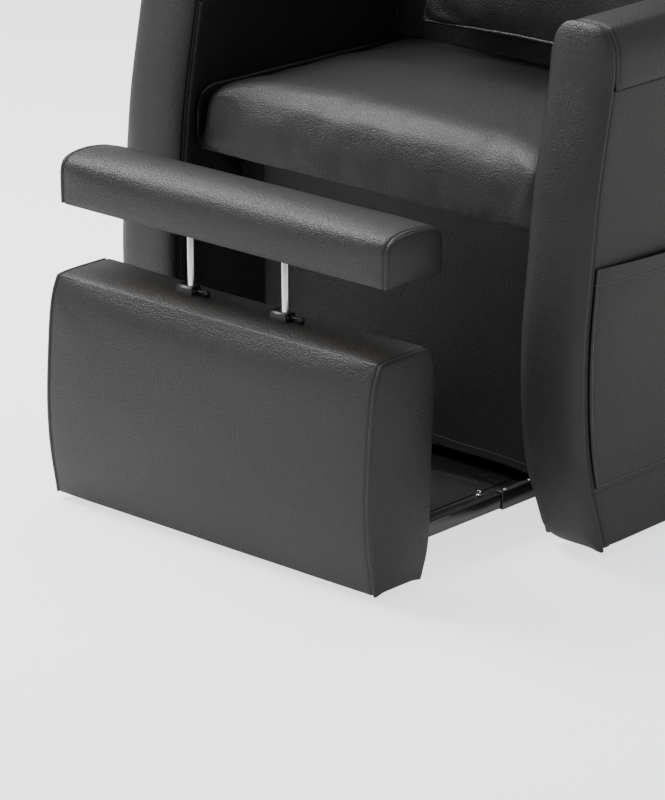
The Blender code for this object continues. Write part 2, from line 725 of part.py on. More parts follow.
# ---------------------------------------------------------------- tray
def tray_pan():
    """A sheet with turned-up sides, pressed up in the middle for a foot bath to stand on."""
    half = TRAY_WIDTH / 2 - RUNNER_THICK - GAP
    pan = block("tray_pan", (-half, TRAY_FRONT, PAN_LOW), (half, TRAY_BACK, RAIL_TOP - 0.001),
                "black_steel")
    inside = block("pan_inside", (-half + SHEET, TRAY_FRONT + SHEET, PAN_FLOOR),
                   (half - SHEET, TRAY_BACK - SHEET, RAIL_TOP + 0.01))
    cut(pan, inside)
    bath = BATH_WIDTH / 2
    bath_front = BRACKET_Y + BRACKET_FOOT + 0.003
    bath_back = TRAY_BACK - 0.040
    step = block("bath_step", (-bath, bath_front, PAN_LOW + SHEET / 2),
                 (bath, bath_back, PAN_FLOOR + BATH_RISE))
    under = block("bath_under", (-bath + SHEET, bath_front + SHEET, PAN_LOW - 0.01),
                  (bath - SHEET, bath_back - SHEET, PAN_LOW + BATH_RISE))
    join(pan, step)
    return cut(pan, under)


def tray_runners():
    low = RAIL_TOP - RAIL_HEIGHT
    mid = RAIL_TOP - RAIL_HEIGHT / 2
    room = RUNNER_THICK - ROLLER_WALL
    roller_y = TRAY_BACK - ROLLER_NOTCH / 2
    for word, side in (("left", -1), ("right", 1)):
        outer = TRAY_WIDTH / 2
        xs = sorted((side * (outer - RUNNER_THICK), side * outer))
        runner = block("tray_runner_" + word, (xs[0], TRAY_FRONT, low), (xs[1], TRAY_BACK, RAIL_TOP),
                       "black_steel")
        gap_xs = sorted((side * (outer - room), side * (outer + 0.01)))
        relief = block("roller_relief_" + word, (gap_xs[0], TRAY_BACK - ROLLER_NOTCH, low - 0.01),
                       (gap_xs[1], TRAY_BACK + 0.01, RAIL_TOP + 0.01))
        roller_x = outer - room / 2
        stud = rod("roller_stud_" + word, (side * (roller_x - ROLLER_WALL), roller_y, mid), PIN_R,
                   room - 0.001, "X", None, 16)
        cut(runner, relief)
        join(runner, stud)
        roller = rod("rail_roller_" + word, (side * roller_x, roller_y, mid), ROLLER_R, room - 2 * RUN,
                     "X", "nylon", 32)
        bore = rod("roller_bore_" + word, (side * roller_x, roller_y, mid), PIN_R + PIN_PLAY, 0.05, "X",
                   None, 16)
        cut(roller, bore)


def pan_bolts(pan):
    """Hex bolts with a stud end that fasten the tray to the runners."""
    for word, side in (("left", -1), ("right", 1)):
        x = side * (TRAY_WIDTH / 2 - RUNNER_THICK - BOLT_INSET)
        y = ARM_FRONT + BOLT_BEHIND
        low = PAN_FLOOR + GAP
        bolt = rod("pan_bolt_" + word, (x, y, low + BOLT_HEAD / 2), BOLT_HEAD_R, BOLT_HEAD, "Z", "chrome", 6)
        stud = rod("bolt_stud_" + word, (x, y, low + 0.0015), BOLT_R, BOLT_LENGTH, "Z", None, 16)
        join(bolt, stud)
        hole = rod("bolt_hole_" + word, (x, y, low), BOLT_R + GAP, 0.02, "Z", None, 16)
        cut(pan, hole)


def box_bracket():
    """An angle strip that holds the box's back to the front of the tray."""
    half = BRACKET_WIDTH / 2
    low = PAN_FLOOR + GAP
    bracket = block("box_bracket", (-half, BRACKET_Y, low), (half, BRACKET_Y + BRACKET_FOOT, low + SHEET),
                    "black_steel")
    upright = block("bracket_upright", (-half, BRACKET_Y, low),
                    (half, BRACKET_Y + SHEET, low + BRACKET_HEIGHT))
    join(bracket, upright)


def front_wheels():
    for word, side in (("left", -1), ("right", 1)):
        x = side * WHEEL_SPACING / 2
        wheel = rod("front_wheel_" + word, (x, WHEEL_Y, WHEEL_R), WHEEL_R, WHEEL_WIDTH, "X", "nylon", 32)
        bore = rod("wheel_bore_" + word, (x, WHEEL_Y, WHEEL_R), PIN_R + PIN_PLAY, 0.1, "X", None, 16)
        cut(wheel, bore)
        inner = WHEEL_WIDTH / 2 + 2 * RUN
        outer = inner + SHEET
        deep = FORK_DEPTH / 2
        top = FORK_TOP - SHEET
        fork = block("wheel_fork_" + word, (x - outer, WHEEL_Y - deep, WHEEL_R - FORK_DEPTH / 4),
                     (x + outer, WHEEL_Y + deep, top + SHEET), "zinc")
        space = block("fork_space_" + word, (x - inner, -1, -1), (x + inner, 1, top))
        tab = block("fork_tab_" + word, (x - inner - FORK_TAB, WHEEL_Y - deep, top),
                    (x + inner + FORK_TAB, WHEEL_Y + deep, top + SHEET))
        axle = rod("wheel_axle_" + word, (x, WHEEL_Y, WHEEL_R), PIN_R, 2 * outer + PIN_R, "X", None, 16)
        cut(fork, space)
        join(fork, tab, axle)


# ---------------------------------------------------------------- footrest
def pad_outline():
    top = PAD_BOTTOM + PAD_THICK
    back = PAD_FRONT + PAD_DEPTH
    outline = [(PAD_FRONT, PAD_BOTTOM), (PAD_FRONT, PAD_BOTTOM + 0.045)]
    outline += arc((PAD_FRONT + 0.030, top - 0.0235), (0.030, 0.0225), 170, 90, 5)
    outline += [(PAD_FRONT + 0.050, top)]
    outline += arc((back - 0.020, top - 0.024), (0.020, 0.020), 85, 0, 4)
    outline += [(back, PAD_BOTTOM + 0.030), (back - 0.003, PAD_BOTTOM)]
    return outline


def footrest():
    half = PAD_WIDTH / 2
    pad = prism("footrest_pad", pad_outline(), -half, half, "X", "vinyl")
    rim = PAD_RIM
    depth = SCREW_HEAD + PLATE + PLY + 3 * GAP
    pocket = block("pad_pocket", (-half + rim, PAD_FRONT + rim, PAD_BOTTOM - 0.01),
                   (half - rim, PAD_FRONT + PAD_DEPTH - rim, PAD_BOTTOM + depth + GAP))
    cut(pad, pocket)
    board_low = PAD_BOTTOM + depth - PLY
    board = block("footrest_board", (-half + rim + GAP, PAD_FRONT + rim + GAP, board_low),
                  (half - rim - GAP, PAD_FRONT + PAD_DEPTH - rim - GAP, board_low + PLY), "wood")
    plate_low = board_low - GAP - PLATE
    plate = block("post_plate", (-PLATE_LENGTH / 2, POST_Y - PLATE_WIDTH / 2, plate_low),
                  (PLATE_LENGTH / 2, POST_Y + PLATE_WIDTH / 2, plate_low + PLATE), "zinc")
    for word, side in (("left", -1), ("right", 1)):
        x = side * POST_SPACING / 2
        bottom = BOX_TOP - POST_BELOW
        top = board_low + PLY * 0.7
        rod("post_" + word, (x, POST_Y, (bottom + top) / 2), POST_R, top - bottom, "Z", "chrome", 24)
        for piece in (board, plate):
            hole = rod("post_hole_%s_%s" % (word, piece.name), (x, POST_Y, PAD_BOTTOM + 0.01),
                       POST_R + GAP, PLY * 1.4 + 0.012, "Z", None, 24)
            cut(piece, hole)
        for row, offset in (("front", -0.012), ("rear", 0.012)):
            screw_x = side * (PLATE_LENGTH / 2 - 0.012)
            pad_screw("%s_%s" % (row, word), screw_x, POST_Y + offset, plate_low, board, plate)


def pad_screw(word, x, y, plate_low, board, plate):
    head_top = plate_low - GAP
    screw = rod("pad_screw_" + word, (x, y, head_top - SCREW_HEAD / 2), SCREW_HEAD_R, SCREW_HEAD, "Z",
                "zinc", 16)
    shank = rod("screw_shank_" + word, (x, y, head_top + SCREW_LENGTH / 2 - 0.0005), SCREW_R,
                SCREW_LENGTH + 0.001, "Z", None, 12)
    join(screw, shank)
    for piece in (board, plate):
        hole = rod("screw_hole_%s_%s" % (word, piece.name), (x, y, head_top + SCREW_LENGTH / 2),
                   SCREW_R + GAP, SCREW_LENGTH + 0.003, "Z", None, 12)
        cut(piece, hole)


def build():
    clear_scene()
    for word, side in (("left", -1), ("right", 1)):
        arm_strip(side, word)
        arm_covers(side, word)
        arm_top(side, word)
        arm_frame(side, word)
        side_pocket(side, word)
        post_guide(side, word)
        release_button(side, word)
        latch_spring(side, word)
    glides()
    seat_cushion()
    seat_frame()
    front_panel()
    base_frame()
    fixed_rails()
    back_group()
    lower_back()
    front_box()
    pan_bolts(tray_pan())
    tray_runners()
    box_bracket()
    front_wheels()
    footrest()


build()
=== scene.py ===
# %% [markdown]
# # A pedicure spa chair in charcoal vinyl
# The chair is a padded club chair with a steel tray that slides out in front. On the tray
# stand a padded box and, above it on two chrome posts, a footrest pad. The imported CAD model
# gives every size and every moving body. This lesson dresses it: stuffed covers, seams,
# stitches, piping and the finish of each material. Nothing here moves or resizes the CAD.

# %% Load the frame
import json
import math
from collections import Counter

import bmesh
import bpy
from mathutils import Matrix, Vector, noise

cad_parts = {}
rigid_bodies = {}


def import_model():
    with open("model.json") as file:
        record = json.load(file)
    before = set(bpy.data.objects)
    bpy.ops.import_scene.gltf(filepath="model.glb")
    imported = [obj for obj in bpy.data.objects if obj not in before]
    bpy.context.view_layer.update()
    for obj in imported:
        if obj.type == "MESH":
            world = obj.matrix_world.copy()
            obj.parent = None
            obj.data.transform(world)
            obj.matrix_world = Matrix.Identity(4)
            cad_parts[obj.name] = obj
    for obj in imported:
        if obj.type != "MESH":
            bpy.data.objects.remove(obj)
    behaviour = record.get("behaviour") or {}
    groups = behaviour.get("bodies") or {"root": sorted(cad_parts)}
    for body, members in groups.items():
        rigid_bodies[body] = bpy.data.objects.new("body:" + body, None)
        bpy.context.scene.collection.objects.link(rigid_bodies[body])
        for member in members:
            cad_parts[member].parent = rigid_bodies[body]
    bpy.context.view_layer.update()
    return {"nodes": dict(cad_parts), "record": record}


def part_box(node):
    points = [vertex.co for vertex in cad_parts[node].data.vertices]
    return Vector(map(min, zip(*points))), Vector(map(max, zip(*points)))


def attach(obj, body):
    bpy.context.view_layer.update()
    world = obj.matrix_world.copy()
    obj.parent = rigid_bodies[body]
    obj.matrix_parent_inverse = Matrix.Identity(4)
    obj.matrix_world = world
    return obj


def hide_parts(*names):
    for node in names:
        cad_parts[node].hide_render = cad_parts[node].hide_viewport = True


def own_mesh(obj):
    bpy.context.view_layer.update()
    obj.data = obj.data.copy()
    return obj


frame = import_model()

LEFT_AND_RIGHT = (("left", -1), ("right", 1))


# %% [markdown]
# ## Small helpers
# Three jobs come back in every step: putting an object in the scene, keeping the mesh that
# its modifiers make, and holding a number between two ends.

# %% Put, settle and hold
def put(name, data):
    """A new object in the scene, at the origin."""
    made = bpy.data.objects.new(name, data)
    bpy.context.scene.collection.objects.link(made)
    return made


def settled(thing, name):
    """The object's mesh with its modifiers applied."""
    mesh = bpy.data.meshes.new_from_object(thing.evaluated_get(bpy.context.evaluated_depsgraph_get()))
    mesh.name = name
    return mesh


def held_between(value, low=0.0, high=1.0):
    """The value, or the end that it has passed."""
    return min(high, max(low, value))


# %% [markdown]
# ## The camera
# A camera can be placed by trial, or worked out from a point that it looks at, two angles
# and a distance. The second way is used, because the point can then hang on a CAD part:
# the height of the box's top, a little right of its middle. The lens is long, so upright
# edges stay almost parallel.

# %% Place the camera
AZIMUTH = math.radians(42.33)
ELEVATION = math.radians(19.04)
CAMERA_DISTANCE = 5.083
LENS = 182.0

box_low, box_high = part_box("box_cover")
target = Vector((0.37 * (box_high.x - box_low.x), box_low.y + 0.014, box_low.z + 0.246))
away = Vector((math.sin(AZIMUTH) * math.cos(ELEVATION),
               -math.cos(AZIMUTH) * math.cos(ELEVATION), math.sin(ELEVATION)))
camera_data = bpy.data.cameras.new("studio_camera")
camera_data.lens = LENS
camera_data.clip_end = 50
camera = put("studio_camera", camera_data)
camera.location = target + away * CAMERA_DISTANCE
camera.rotation_euler = away.to_track_quat("Z", "Y").to_euler()
bpy.context.scene.camera = camera
print("camera at", [round(c, 3) for c in camera.location])

# %% [markdown]
# ## Floor and light
# Black vinyl shows its shape by what it mirrors, so the room matters more than the lamps.
# An even world and a floor that glows a little, like a lit white sweep, give every face a
# soft sheen. One big lamp, high on the left and a little in front, draws the long highlights
# along the rounded edges, and a weaker one above and behind lifts the level faces.

# %% Make the floor
FLOOR = 14.0             # half the floor's side
FLOOR_GLOW = 0.36        # a lit white sweep gives back some light of its own
FLOOR_SEEN = 1.6         # and the camera sees it brighter, as a lit backdrop is exposed
floor_mesh = bpy.data.meshes.new("studio_floor")
floor_corners = ((-1, -1), (1, -1), (1, 1), (-1, 1))
floor_mesh.from_pydata([(x * FLOOR, y * FLOOR, 0) for x, y in floor_corners], [], [(0, 1, 2, 3)])
floor_paint = bpy.data.materials.new("floor_paint")
floor_paint.use_nodes = True
floor_tree = floor_paint.node_tree
floor_shader = floor_tree.nodes["Principled BSDF"].inputs
floor_shader["Base Color"].default_value = (0.86, 0.86, 0.86, 1)
floor_shader["Roughness"].default_value = 0.9
floor_shader["Emission Color"].default_value = (1, 1, 1, 1)
seen = floor_tree.nodes.new("ShaderNodeLightPath")
glow = floor_tree.nodes.new("ShaderNodeMapRange")
glow.inputs["To Min"].default_value = FLOOR_GLOW
glow.inputs["To Max"].default_value = FLOOR_SEEN
floor_tree.links.new(seen.outputs["Is Camera Ray"], glow.inputs["Value"])
floor_tree.links.new(glow.outputs["Result"], floor_shader["Emission Strength"])
floor_mesh.materials.append(floor_paint)
floor = put("studio_floor", floor_mesh)

# %% Light the studio
WORLD_STRENGTH = 0.62
LAMPS_LOOK_AT = Vector((0, -0.1, 0.4))
world = bpy.data.worlds.new("studio_world")
world.use_nodes = True
world.node_tree.nodes["Background"].inputs["Color"].default_value = (1.0, 1.0, 1.0, 1)
world.node_tree.nodes["Background"].inputs["Strength"].default_value = WORLD_STRENGTH
bpy.context.scene.world = world


def softbox(name, place, size, power):
    """A square lamp that looks at the middle of the seat."""
    lamp = bpy.data.lights.new(name, "AREA")
    lamp.size = size
    lamp.energy = power
    holder = put(name, lamp)
    holder.location = place
    holder.rotation_euler = (Vector(place) - LAMPS_LOOK_AT).to_track_quat("Z", "Y").to_euler()


softbox("key_light", (-1.85, -0.75, 2.6), 1.5, 125)
softbox("top_light", (-0.7, 0.9, 3.0), 1.3, 26)
print("world strength", WORLD_STRENGTH)

# %% [markdown]
# ## Finishes
# Effects that several materials share are built once as node groups: the pebbled grain of
# vinyl, and the marks of handling, which are cloudy colour, scuffs and a little dust on
# faces that look up. A group puts out only masks and heights. Each material keeps its own
# Principled shader, with its own colours and roughness.

# %% Helpers for node trees
def new_group(name, inputs, outputs):
    """An empty shader group with float inputs, one Vector input and float outputs."""
    tree = bpy.data.node_groups.new(name, "ShaderNodeTree")
    tree.interface.new_socket("Vector", in_out="INPUT", socket_type="NodeSocketVector")
    for label, value in inputs:
        socket = tree.interface.new_socket(label, in_out="INPUT", socket_type="NodeSocketFloat")
        socket.default_value = value
    for label in outputs:
        tree.interface.new_socket(label, in_out="OUTPUT", socket_type="NodeSocketFloat")
    return tree, tree.nodes.new("NodeGroupInput"), tree.nodes.new("NodeGroupOutput")


def math_node(tree, operation, first, second, clamp=False):
    """A Math node; each input is a number or another node's socket."""
    node = tree.nodes.new("ShaderNodeMath")
    node.operation = operation
    node.use_clamp = clamp
    for place, value in ((0, first), (1, second)):
        if isinstance(value, (int, float)):
            node.inputs[place].default_value = value
        else:
            tree.links.new(value, node.inputs[place])
    return node.outputs[0]


def wire(tree, *links):
    """Link sockets; each link is (node, output, node, input)."""
    for giver, output, taker, entry in links:
        tree.links.new(giver.outputs[output], taker.inputs[entry])


def noise_node(tree, vector, scale, detail=3.0, rough=0.5):
    """A Noise texture; its scale is a number or a socket."""
    node = tree.nodes.new("ShaderNodeTexNoise")
    node.inputs["Detail"].default_value = detail
    node.inputs["Roughness"].default_value = rough
    if isinstance(scale, (int, float)):
        node.inputs["Scale"].default_value = scale
    else:
        tree.links.new(scale, node.inputs["Scale"])
    tree.links.new(vector, node.inputs["Vector"])
    return node


def stretched(tree, vector, scale):
    """The same place, scaled by its own number along each axis."""
    node = tree.nodes.new("ShaderNodeMapping")
    node.inputs["Scale"].default_value = scale
    tree.links.new(vector, node.inputs["Vector"])
    return node.outputs["Vector"]


def remap(tree, value, low, high, to_low=0.0, to_high=1.0):
    """A Map Range node, held within its ends."""
    node = tree.nodes.new("ShaderNodeMapRange")
    for label, number in zip(("From Min", "From Max", "To Min", "To Max"), (low, high, to_low, to_high)):
        node.inputs[label].default_value = number
    tree.links.new(value, node.inputs["Value"])
    return node.outputs["Result"]


# %% The pebbled grain
def build_grain():
    """Rounded cells with creases between them, slightly pulled out of shape."""
    tree, start, end = new_group("pebbled_grain", [("Cells per metre", 700.0), ("Pull", 0.0006)],
                                 ["Height", "Pebble"])
    warp = noise_node(tree, start.outputs["Vector"], 240.0, 2.0)
    centre = tree.nodes.new("ShaderNodeVectorMath")
    centre.operation = "SUBTRACT"
    centre.inputs[1].default_value = (0.5, 0.5, 0.5)
    pull = tree.nodes.new("ShaderNodeVectorMath")
    pull.operation = "SCALE"
    place = tree.nodes.new("ShaderNodeVectorMath")
    place.operation = "ADD"
    cells = tree.nodes.new("ShaderNodeTexVoronoi")
    cells.feature = "SMOOTH_F1"
    cells.inputs["Smoothness"].default_value = 0.35
    wire(tree, (warp, "Color", centre, 0), (centre, "Vector", pull, 0), (start, "Pull", pull, "Scale"),
         (start, "Vector", place, 0), (pull, "Vector", place, 1),
         (place, "Vector", cells, "Vector"), (start, "Cells per metre", cells, "Scale"))
    pebble = remap(tree, cells.outputs["Distance"], 0.05, 0.75, 1.0, 0.0)
    fine = noise_node(tree, start.outputs["Vector"], 2600.0, 2.0)
    height = math_node(tree, "ADD", pebble, math_node(tree, "MULTIPLY", fine.outputs["Fac"], 0.25))
    tree.links.new(height, end.inputs["Height"])
    tree.links.new(pebble, end.inputs["Pebble"])
    return tree


GRAIN = build_grain()


# %% The marks of handling
def build_handling():
    """Masks from 0 to 1: cloudy colour, thin scuffs and dust on faces that look up."""
    tree, start, end = new_group("handling", [("Cloud scale", 5.0), ("Scuff scale", 30.0)],
                                 ["Cloud", "Scuff", "Dust"])
    cloud = noise_node(tree, start.outputs["Vector"], start.outputs["Cloud scale"], 4.0, 0.6)
    tree.links.new(remap(tree, cloud.outputs["Fac"], 0.32, 0.68), end.inputs["Cloud"])
    drawn_out = stretched(tree, start.outputs["Vector"], (0.35, 1.0, 2.4))
    streak = noise_node(tree, drawn_out, start.outputs["Scuff scale"], 6.0, 0.7)
    patch = noise_node(tree, start.outputs["Vector"], 3.0, 2.0)
    thin = remap(tree, streak.outputs["Fac"], 0.62, 0.74)
    tree.links.new(math_node(tree, "MULTIPLY", thin, remap(tree, patch.outputs["Fac"], 0.48, 0.66)),
                   end.inputs["Scuff"])
    facing = tree.nodes.new("ShaderNodeNewGeometry")
    parts = tree.nodes.new("ShaderNodeSeparateXYZ")
    tree.links.new(facing.outputs["Normal"], parts.inputs["Vector"])
    specks = noise_node(tree, start.outputs["Vector"], 900.0, 2.0)
    up = remap(tree, parts.outputs["Z"], 0.55, 1.0)
    tree.links.new(math_node(tree, "MULTIPLY", up, remap(tree, specks.outputs["Fac"], 0.45, 0.75)),
                   end.inputs["Dust"])
    return tree


HANDLING = build_handling()
print("groups:", GRAIN.name, HANDLING.name)


# %% One material from a short recipe
def place_group(tree, group, vector, **values):
    node = tree.nodes.new("ShaderNodeGroup")
    node.node_tree = group
    tree.links.new(vector, node.inputs["Vector"])
    for label, value in values.items():
        node.inputs[label.replace("_", " ")].default_value = value
    return node


def colour_mix(tree, factor, first, second):
    """A colour between two others; each is a tuple or a socket."""
    node = tree.nodes.new("ShaderNodeMix")
    node.data_type = "RGBA"
    tree.links.new(factor, node.inputs["Factor"])
    for place, value in ((6, first), (7, second)):
        if isinstance(value, tuple):
            node.inputs[place].default_value = (*value, 1.0)
        else:
            tree.links.new(value, node.inputs[place])
    return node.outputs[2]


def bump(tree, height, distance, strength, under=None):
    node = tree.nodes.new("ShaderNodeBump")
    node.inputs["Distance"].default_value = distance
    node.inputs["Strength"].default_value = strength
    tree.links.new(height, node.inputs["Height"])
    if under:
        tree.links.new(under, node.inputs["Normal"])
    return node.outputs["Normal"]


def start_material(name, **sockets):
    """A material with its constants set on the shader's own sockets."""
    material = bpy.data.materials.new(name)
    material.use_nodes = True
    tree = material.node_tree
    shader = tree.nodes["Principled BSDF"]
    for label, value in sockets.items():
        shader.inputs[label.replace("_", " ")].default_value = value
    where = tree.nodes.new("ShaderNodeTexCoord").outputs["Object"]
    return material, tree, shader, where


def marked(name, cloud, scuff, colours, dust_share, **sockets):
    """A material whose base colour carries the marks of handling; colours are dark, light,
    scuffed and dusty."""
    material, tree, shader, where = start_material(name, **sockets)
    marks = place_group(tree, HANDLING, where, Cloud_scale=cloud, Scuff_scale=scuff)
    body = colour_mix(tree, marks.outputs["Cloud"], *colours[:2])
    worn = colour_mix(tree, marks.outputs["Scuff"], body, colours[2])
    dust = math_node(tree, "MULTIPLY", marks.outputs["Dust"], dust_share)
    tree.links.new(colour_mix(tree, dust, worn, colours[3]), shader.inputs["Base Color"])
    return material, tree, shader, where, marks


# %% [markdown]
# ### Vinyl
# Upholstery vinyl is a smooth skin pressed with a leather grain. Its colour is nearly flat,
# so the grain has to come from bump, and the life from roughness: pebble tops are rubbed
# shinier than the creases between them.

# %% Charcoal vinyl and its thread
def vinyl_material():
    material, tree, shader, where, marks = marked(
        "charcoal_vinyl", 4.0, 26.0, ((0.0068, 0.0066, 0.0061), (0.0098, 0.0096, 0.0089),
                                      (0.020, 0.020, 0.019), (0.06, 0.06, 0.057)), 0.08, IOR=1.5)
    grain = place_group(tree, GRAIN, where, Cells_per_metre=520.0, Pull=0.0010)
    rubbed = math_node(tree, "MULTIPLY", grain.outputs["Pebble"], -0.10)
    cloudy = math_node(tree, "MULTIPLY", marks.outputs["Cloud"], 0.08)
    rough = math_node(tree, "ADD", math_node(tree, "ADD", rubbed, cloudy), 0.42)
    tree.links.new(rough, shader.inputs["Roughness"])
    slack = noise_node(tree, where, 55.0, 3.0, 0.55)
    waves = bump(tree, slack.outputs["Fac"], 0.0012, 0.25)
    creases = noise_node(tree, where, 430.0, 4.0, 0.7)
    leather = bump(tree, creases.outputs["Fac"], 0.0010, 0.5, waves)
    tree.links.new(bump(tree, grain.outputs["Height"], 0.00045, 0.9, leather), shader.inputs["Normal"])
    return material


def thread_material():
    material, tree, shader, where = start_material("black_thread", Roughness=0.55, Sheen_Weight=0.3)
    twist = noise_node(tree, where, 1500.0, 2.0)
    # Painted glints: the thread's colour is lifted from near black to mid grey, standing in for the light its
    # stitches catch; the twist noise varies the tone between two greys
    tree.links.new(colour_mix(tree, twist.outputs["Fac"], (0.09, 0.09, 0.091), (0.17, 0.17, 0.172)),
                   shader.inputs["Base Color"])
    tree.links.new(bump(tree, twist.outputs["Fac"], 0.0001, 0.5), shader.inputs["Normal"])
    return material


VINYL = vinyl_material()
THREAD = thread_material()


# %% [markdown]
# ### Metal, plastic, wood and wire
# The hard parts are small, but the tray and the posts catch the eye. Powder coat has a
# faint orange peel, zinc has crystals of different shine, chrome has only haze and dust,
# and the moulded plastic has a fine spark texture.

# %% Steel finishes
def black_steel_material():
    material, tree, shader, where, marks = marked(
        "black_powder_coat", 7.0, 60.0, ((0.010, 0.010, 0.011), (0.015, 0.015, 0.016),
                                         (0.05, 0.05, 0.05), (0.13, 0.13, 0.12)), 0.10,
        Coat_Weight=0.7, Coat_Roughness=0.06)
    peel = noise_node(tree, where, 420.0, 2.0)
    tree.links.new(remap(tree, marks.outputs["Scuff"], 0.0, 1.0, 0.24, 0.5), shader.inputs["Roughness"])
    tree.links.new(bump(tree, peel.outputs["Fac"], 0.0003, 0.22), shader.inputs["Normal"])
    return material


def zinc_material():
    material, tree, shader, where = start_material("bright_zinc", Metallic=1.0)
    crystals = tree.nodes.new("ShaderNodeTexVoronoi")
    crystals.inputs["Scale"].default_value = 160.0
    tree.links.new(where, crystals.inputs["Vector"])
    shade = tree.nodes.new("ShaderNodeSeparateColor")
    tree.links.new(crystals.outputs["Color"], shade.inputs["Color"])
    tree.links.new(colour_mix(tree, shade.outputs["Red"], (0.50, 0.51, 0.52), (0.66, 0.66, 0.65)),
                   shader.inputs["Base Color"])
    tree.links.new(remap(tree, shade.outputs["Green"], 0.0, 1.0, 0.28, 0.46), shader.inputs["Roughness"])
    return material


def cloudy_material(name, cloud, scuff, colours, dust_share, rough, **sockets):
    """Marks of handling, and a roughness that follows the same clouds."""
    material, tree, shader, where, marks = marked(name, cloud, scuff, colours, dust_share, **sockets)
    tree.links.new(remap(tree, marks.outputs["Cloud"], 0.0, 1.0, *rough), shader.inputs["Roughness"])
    return material


# %% Plastic and wood
def plastic_material():
    material, tree, shader, where, _ = marked(
        "satin_black_plastic", 12.0, 80.0, ((0.010, 0.010, 0.011), (0.014, 0.014, 0.015),
                                            (0.04, 0.04, 0.04), (0.12, 0.12, 0.115)), 0.12, IOR=1.48)
    spark = noise_node(tree, where, 3200.0, 2.0)
    tree.links.new(remap(tree, spark.outputs["Fac"], 0.3, 0.7, 0.20, 0.32), shader.inputs["Roughness"])
    tree.links.new(bump(tree, spark.outputs["Fac"], 0.00005, 0.4), shader.inputs["Normal"])
    return material


def wood_grain(tree, where, scale, detail, rough):
    """Long streaks along X."""
    return noise_node(tree, stretched(tree, where, (1.0, 9.0, 9.0)), scale, detail, rough).outputs["Fac"]


def wood_material():
    material, tree, shader, where = start_material("plain_plywood")
    grain = wood_grain(tree, where, 14.0, 8.0, 0.65)
    tree.links.new(colour_mix(tree, remap(tree, grain, 0.35, 0.65), (0.62, 0.45, 0.27), (0.40, 0.25, 0.13)),
                   shader.inputs["Base Color"])
    tree.links.new(remap(tree, grain, 0.3, 0.7, 0.55, 0.75), shader.inputs["Roughness"])
    tree.links.new(bump(tree, grain, 0.0008, 0.4), shader.inputs["Normal"])
    return material


def stained_wood_material():
    """Timber painted black, where the frame can be seen between the covers."""
    material, tree, shader, where = start_material("black_stained_wood", Roughness=0.7)
    grain = wood_grain(tree, where, 16.0, 6.0, 0.6)
    tree.links.new(colour_mix(tree, grain, (0.008, 0.008, 0.008), (0.02, 0.019, 0.018)),
                   shader.inputs["Base Color"])
    tree.links.new(bump(tree, grain, 0.0006, 0.4), shader.inputs["Normal"])
    return material


# %% [markdown]
# ### A finish for every slot
# Each CAD part names the slot that it is made of. The parts get their finish here, before
# any cover is made, so a part that no cover replaces already looks right.

# %% Give the CAD parts their finishes
STAINED = stained_wood_material()
SHOWN_TIMBER = ("seat_frame", "arm_frame_left", "arm_frame_right", "box_frame", "box_floor")
FINISHES = {"vinyl": VINYL, "wood": wood_material(), "black_steel": black_steel_material(),
            "zinc": zinc_material(), "plastic": plastic_material(),
            "chrome": cloudy_material("polished_chrome", 14.0, 90.0, (
                (0.78, 0.78, 0.80), (0.84, 0.84, 0.85), (0.62, 0.62, 0.63), (0.6, 0.6, 0.58)),
                0.10, (0.05, 0.12), Metallic=1.0),
            "nylon": cloudy_material("natural_nylon", 20.0, 70.0, (
                (0.66, 0.65, 0.60), (0.74, 0.73, 0.69), (0.35, 0.34, 0.32), (0.5, 0.49, 0.46)),
                0.3, (0.38, 0.5), IOR=1.53, Subsurface_Weight=0.15),
            "spring_steel": cloudy_material("oiled_spring_wire", 25.0, 120.0, (
                (0.20, 0.20, 0.205), (0.30, 0.295, 0.29), (0.22, 0.15, 0.10), (0.3, 0.3, 0.28)),
                0.3, (0.3, 0.45), Metallic=1.0)}
SLOT_OF = {part["node"]: part["material_slot"] for part in frame["record"]["subparts"]}

for node, part in frame["nodes"].items():
    part.data.materials.clear()
    part.data.materials.append(STAINED if node in SHOWN_TIMBER else FINISHES[SLOT_OF[node]])
print("finishes:", sorted(FINISHES))

# %% [markdown]
# ## Tools for the covers
# Each padded part is a closed box of quads, laid over the CAD part's own outline. A voxel
# remesh would do for a lumpy cushion, but it rubs out seams. A grid keeps them: its rows
# are laid close together at each seam, so that a row can be found again afterwards, sunk
# for the stitches, and followed by a thread.

# %% Read an outline from the CAD
def line_length(line):
    return sum((b - a).length for a, b in zip(line, line[1:]))


def end_outline(node, axis, high=True):
    """The closed outline of a CAD part's flat end across an axis (0, 1 or 2), in order."""
    mesh = frame["nodes"][node].data
    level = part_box(node)[1 if high else 0][axis]
    shared = Counter()
    for face in mesh.polygons:
        corners = [mesh.vertices[i].co for i in face.vertices]
        if all(abs(corner[axis] - level) < 1e-4 for corner in corners):
            keys = [tuple(round(c, 5) for c in corner) for corner in corners]
            for a, b in zip(keys, keys[1:] + keys[:1]):
                shared[frozenset((a, b))] += 1
    border = {}
    for edge, count in shared.items():
        if count == 1:
            a, b = edge
            border.setdefault(a, []).append(b)
            border.setdefault(b, []).append(a)
    line = [min(border)]
    while True:
        ahead = [point for point in border[line[-1]] if point not in line[-2:] and point != line[0]]
        if not ahead or ahead[0] in line:
            break
        line.append(ahead[0])
    return [Vector(point) for point in line]


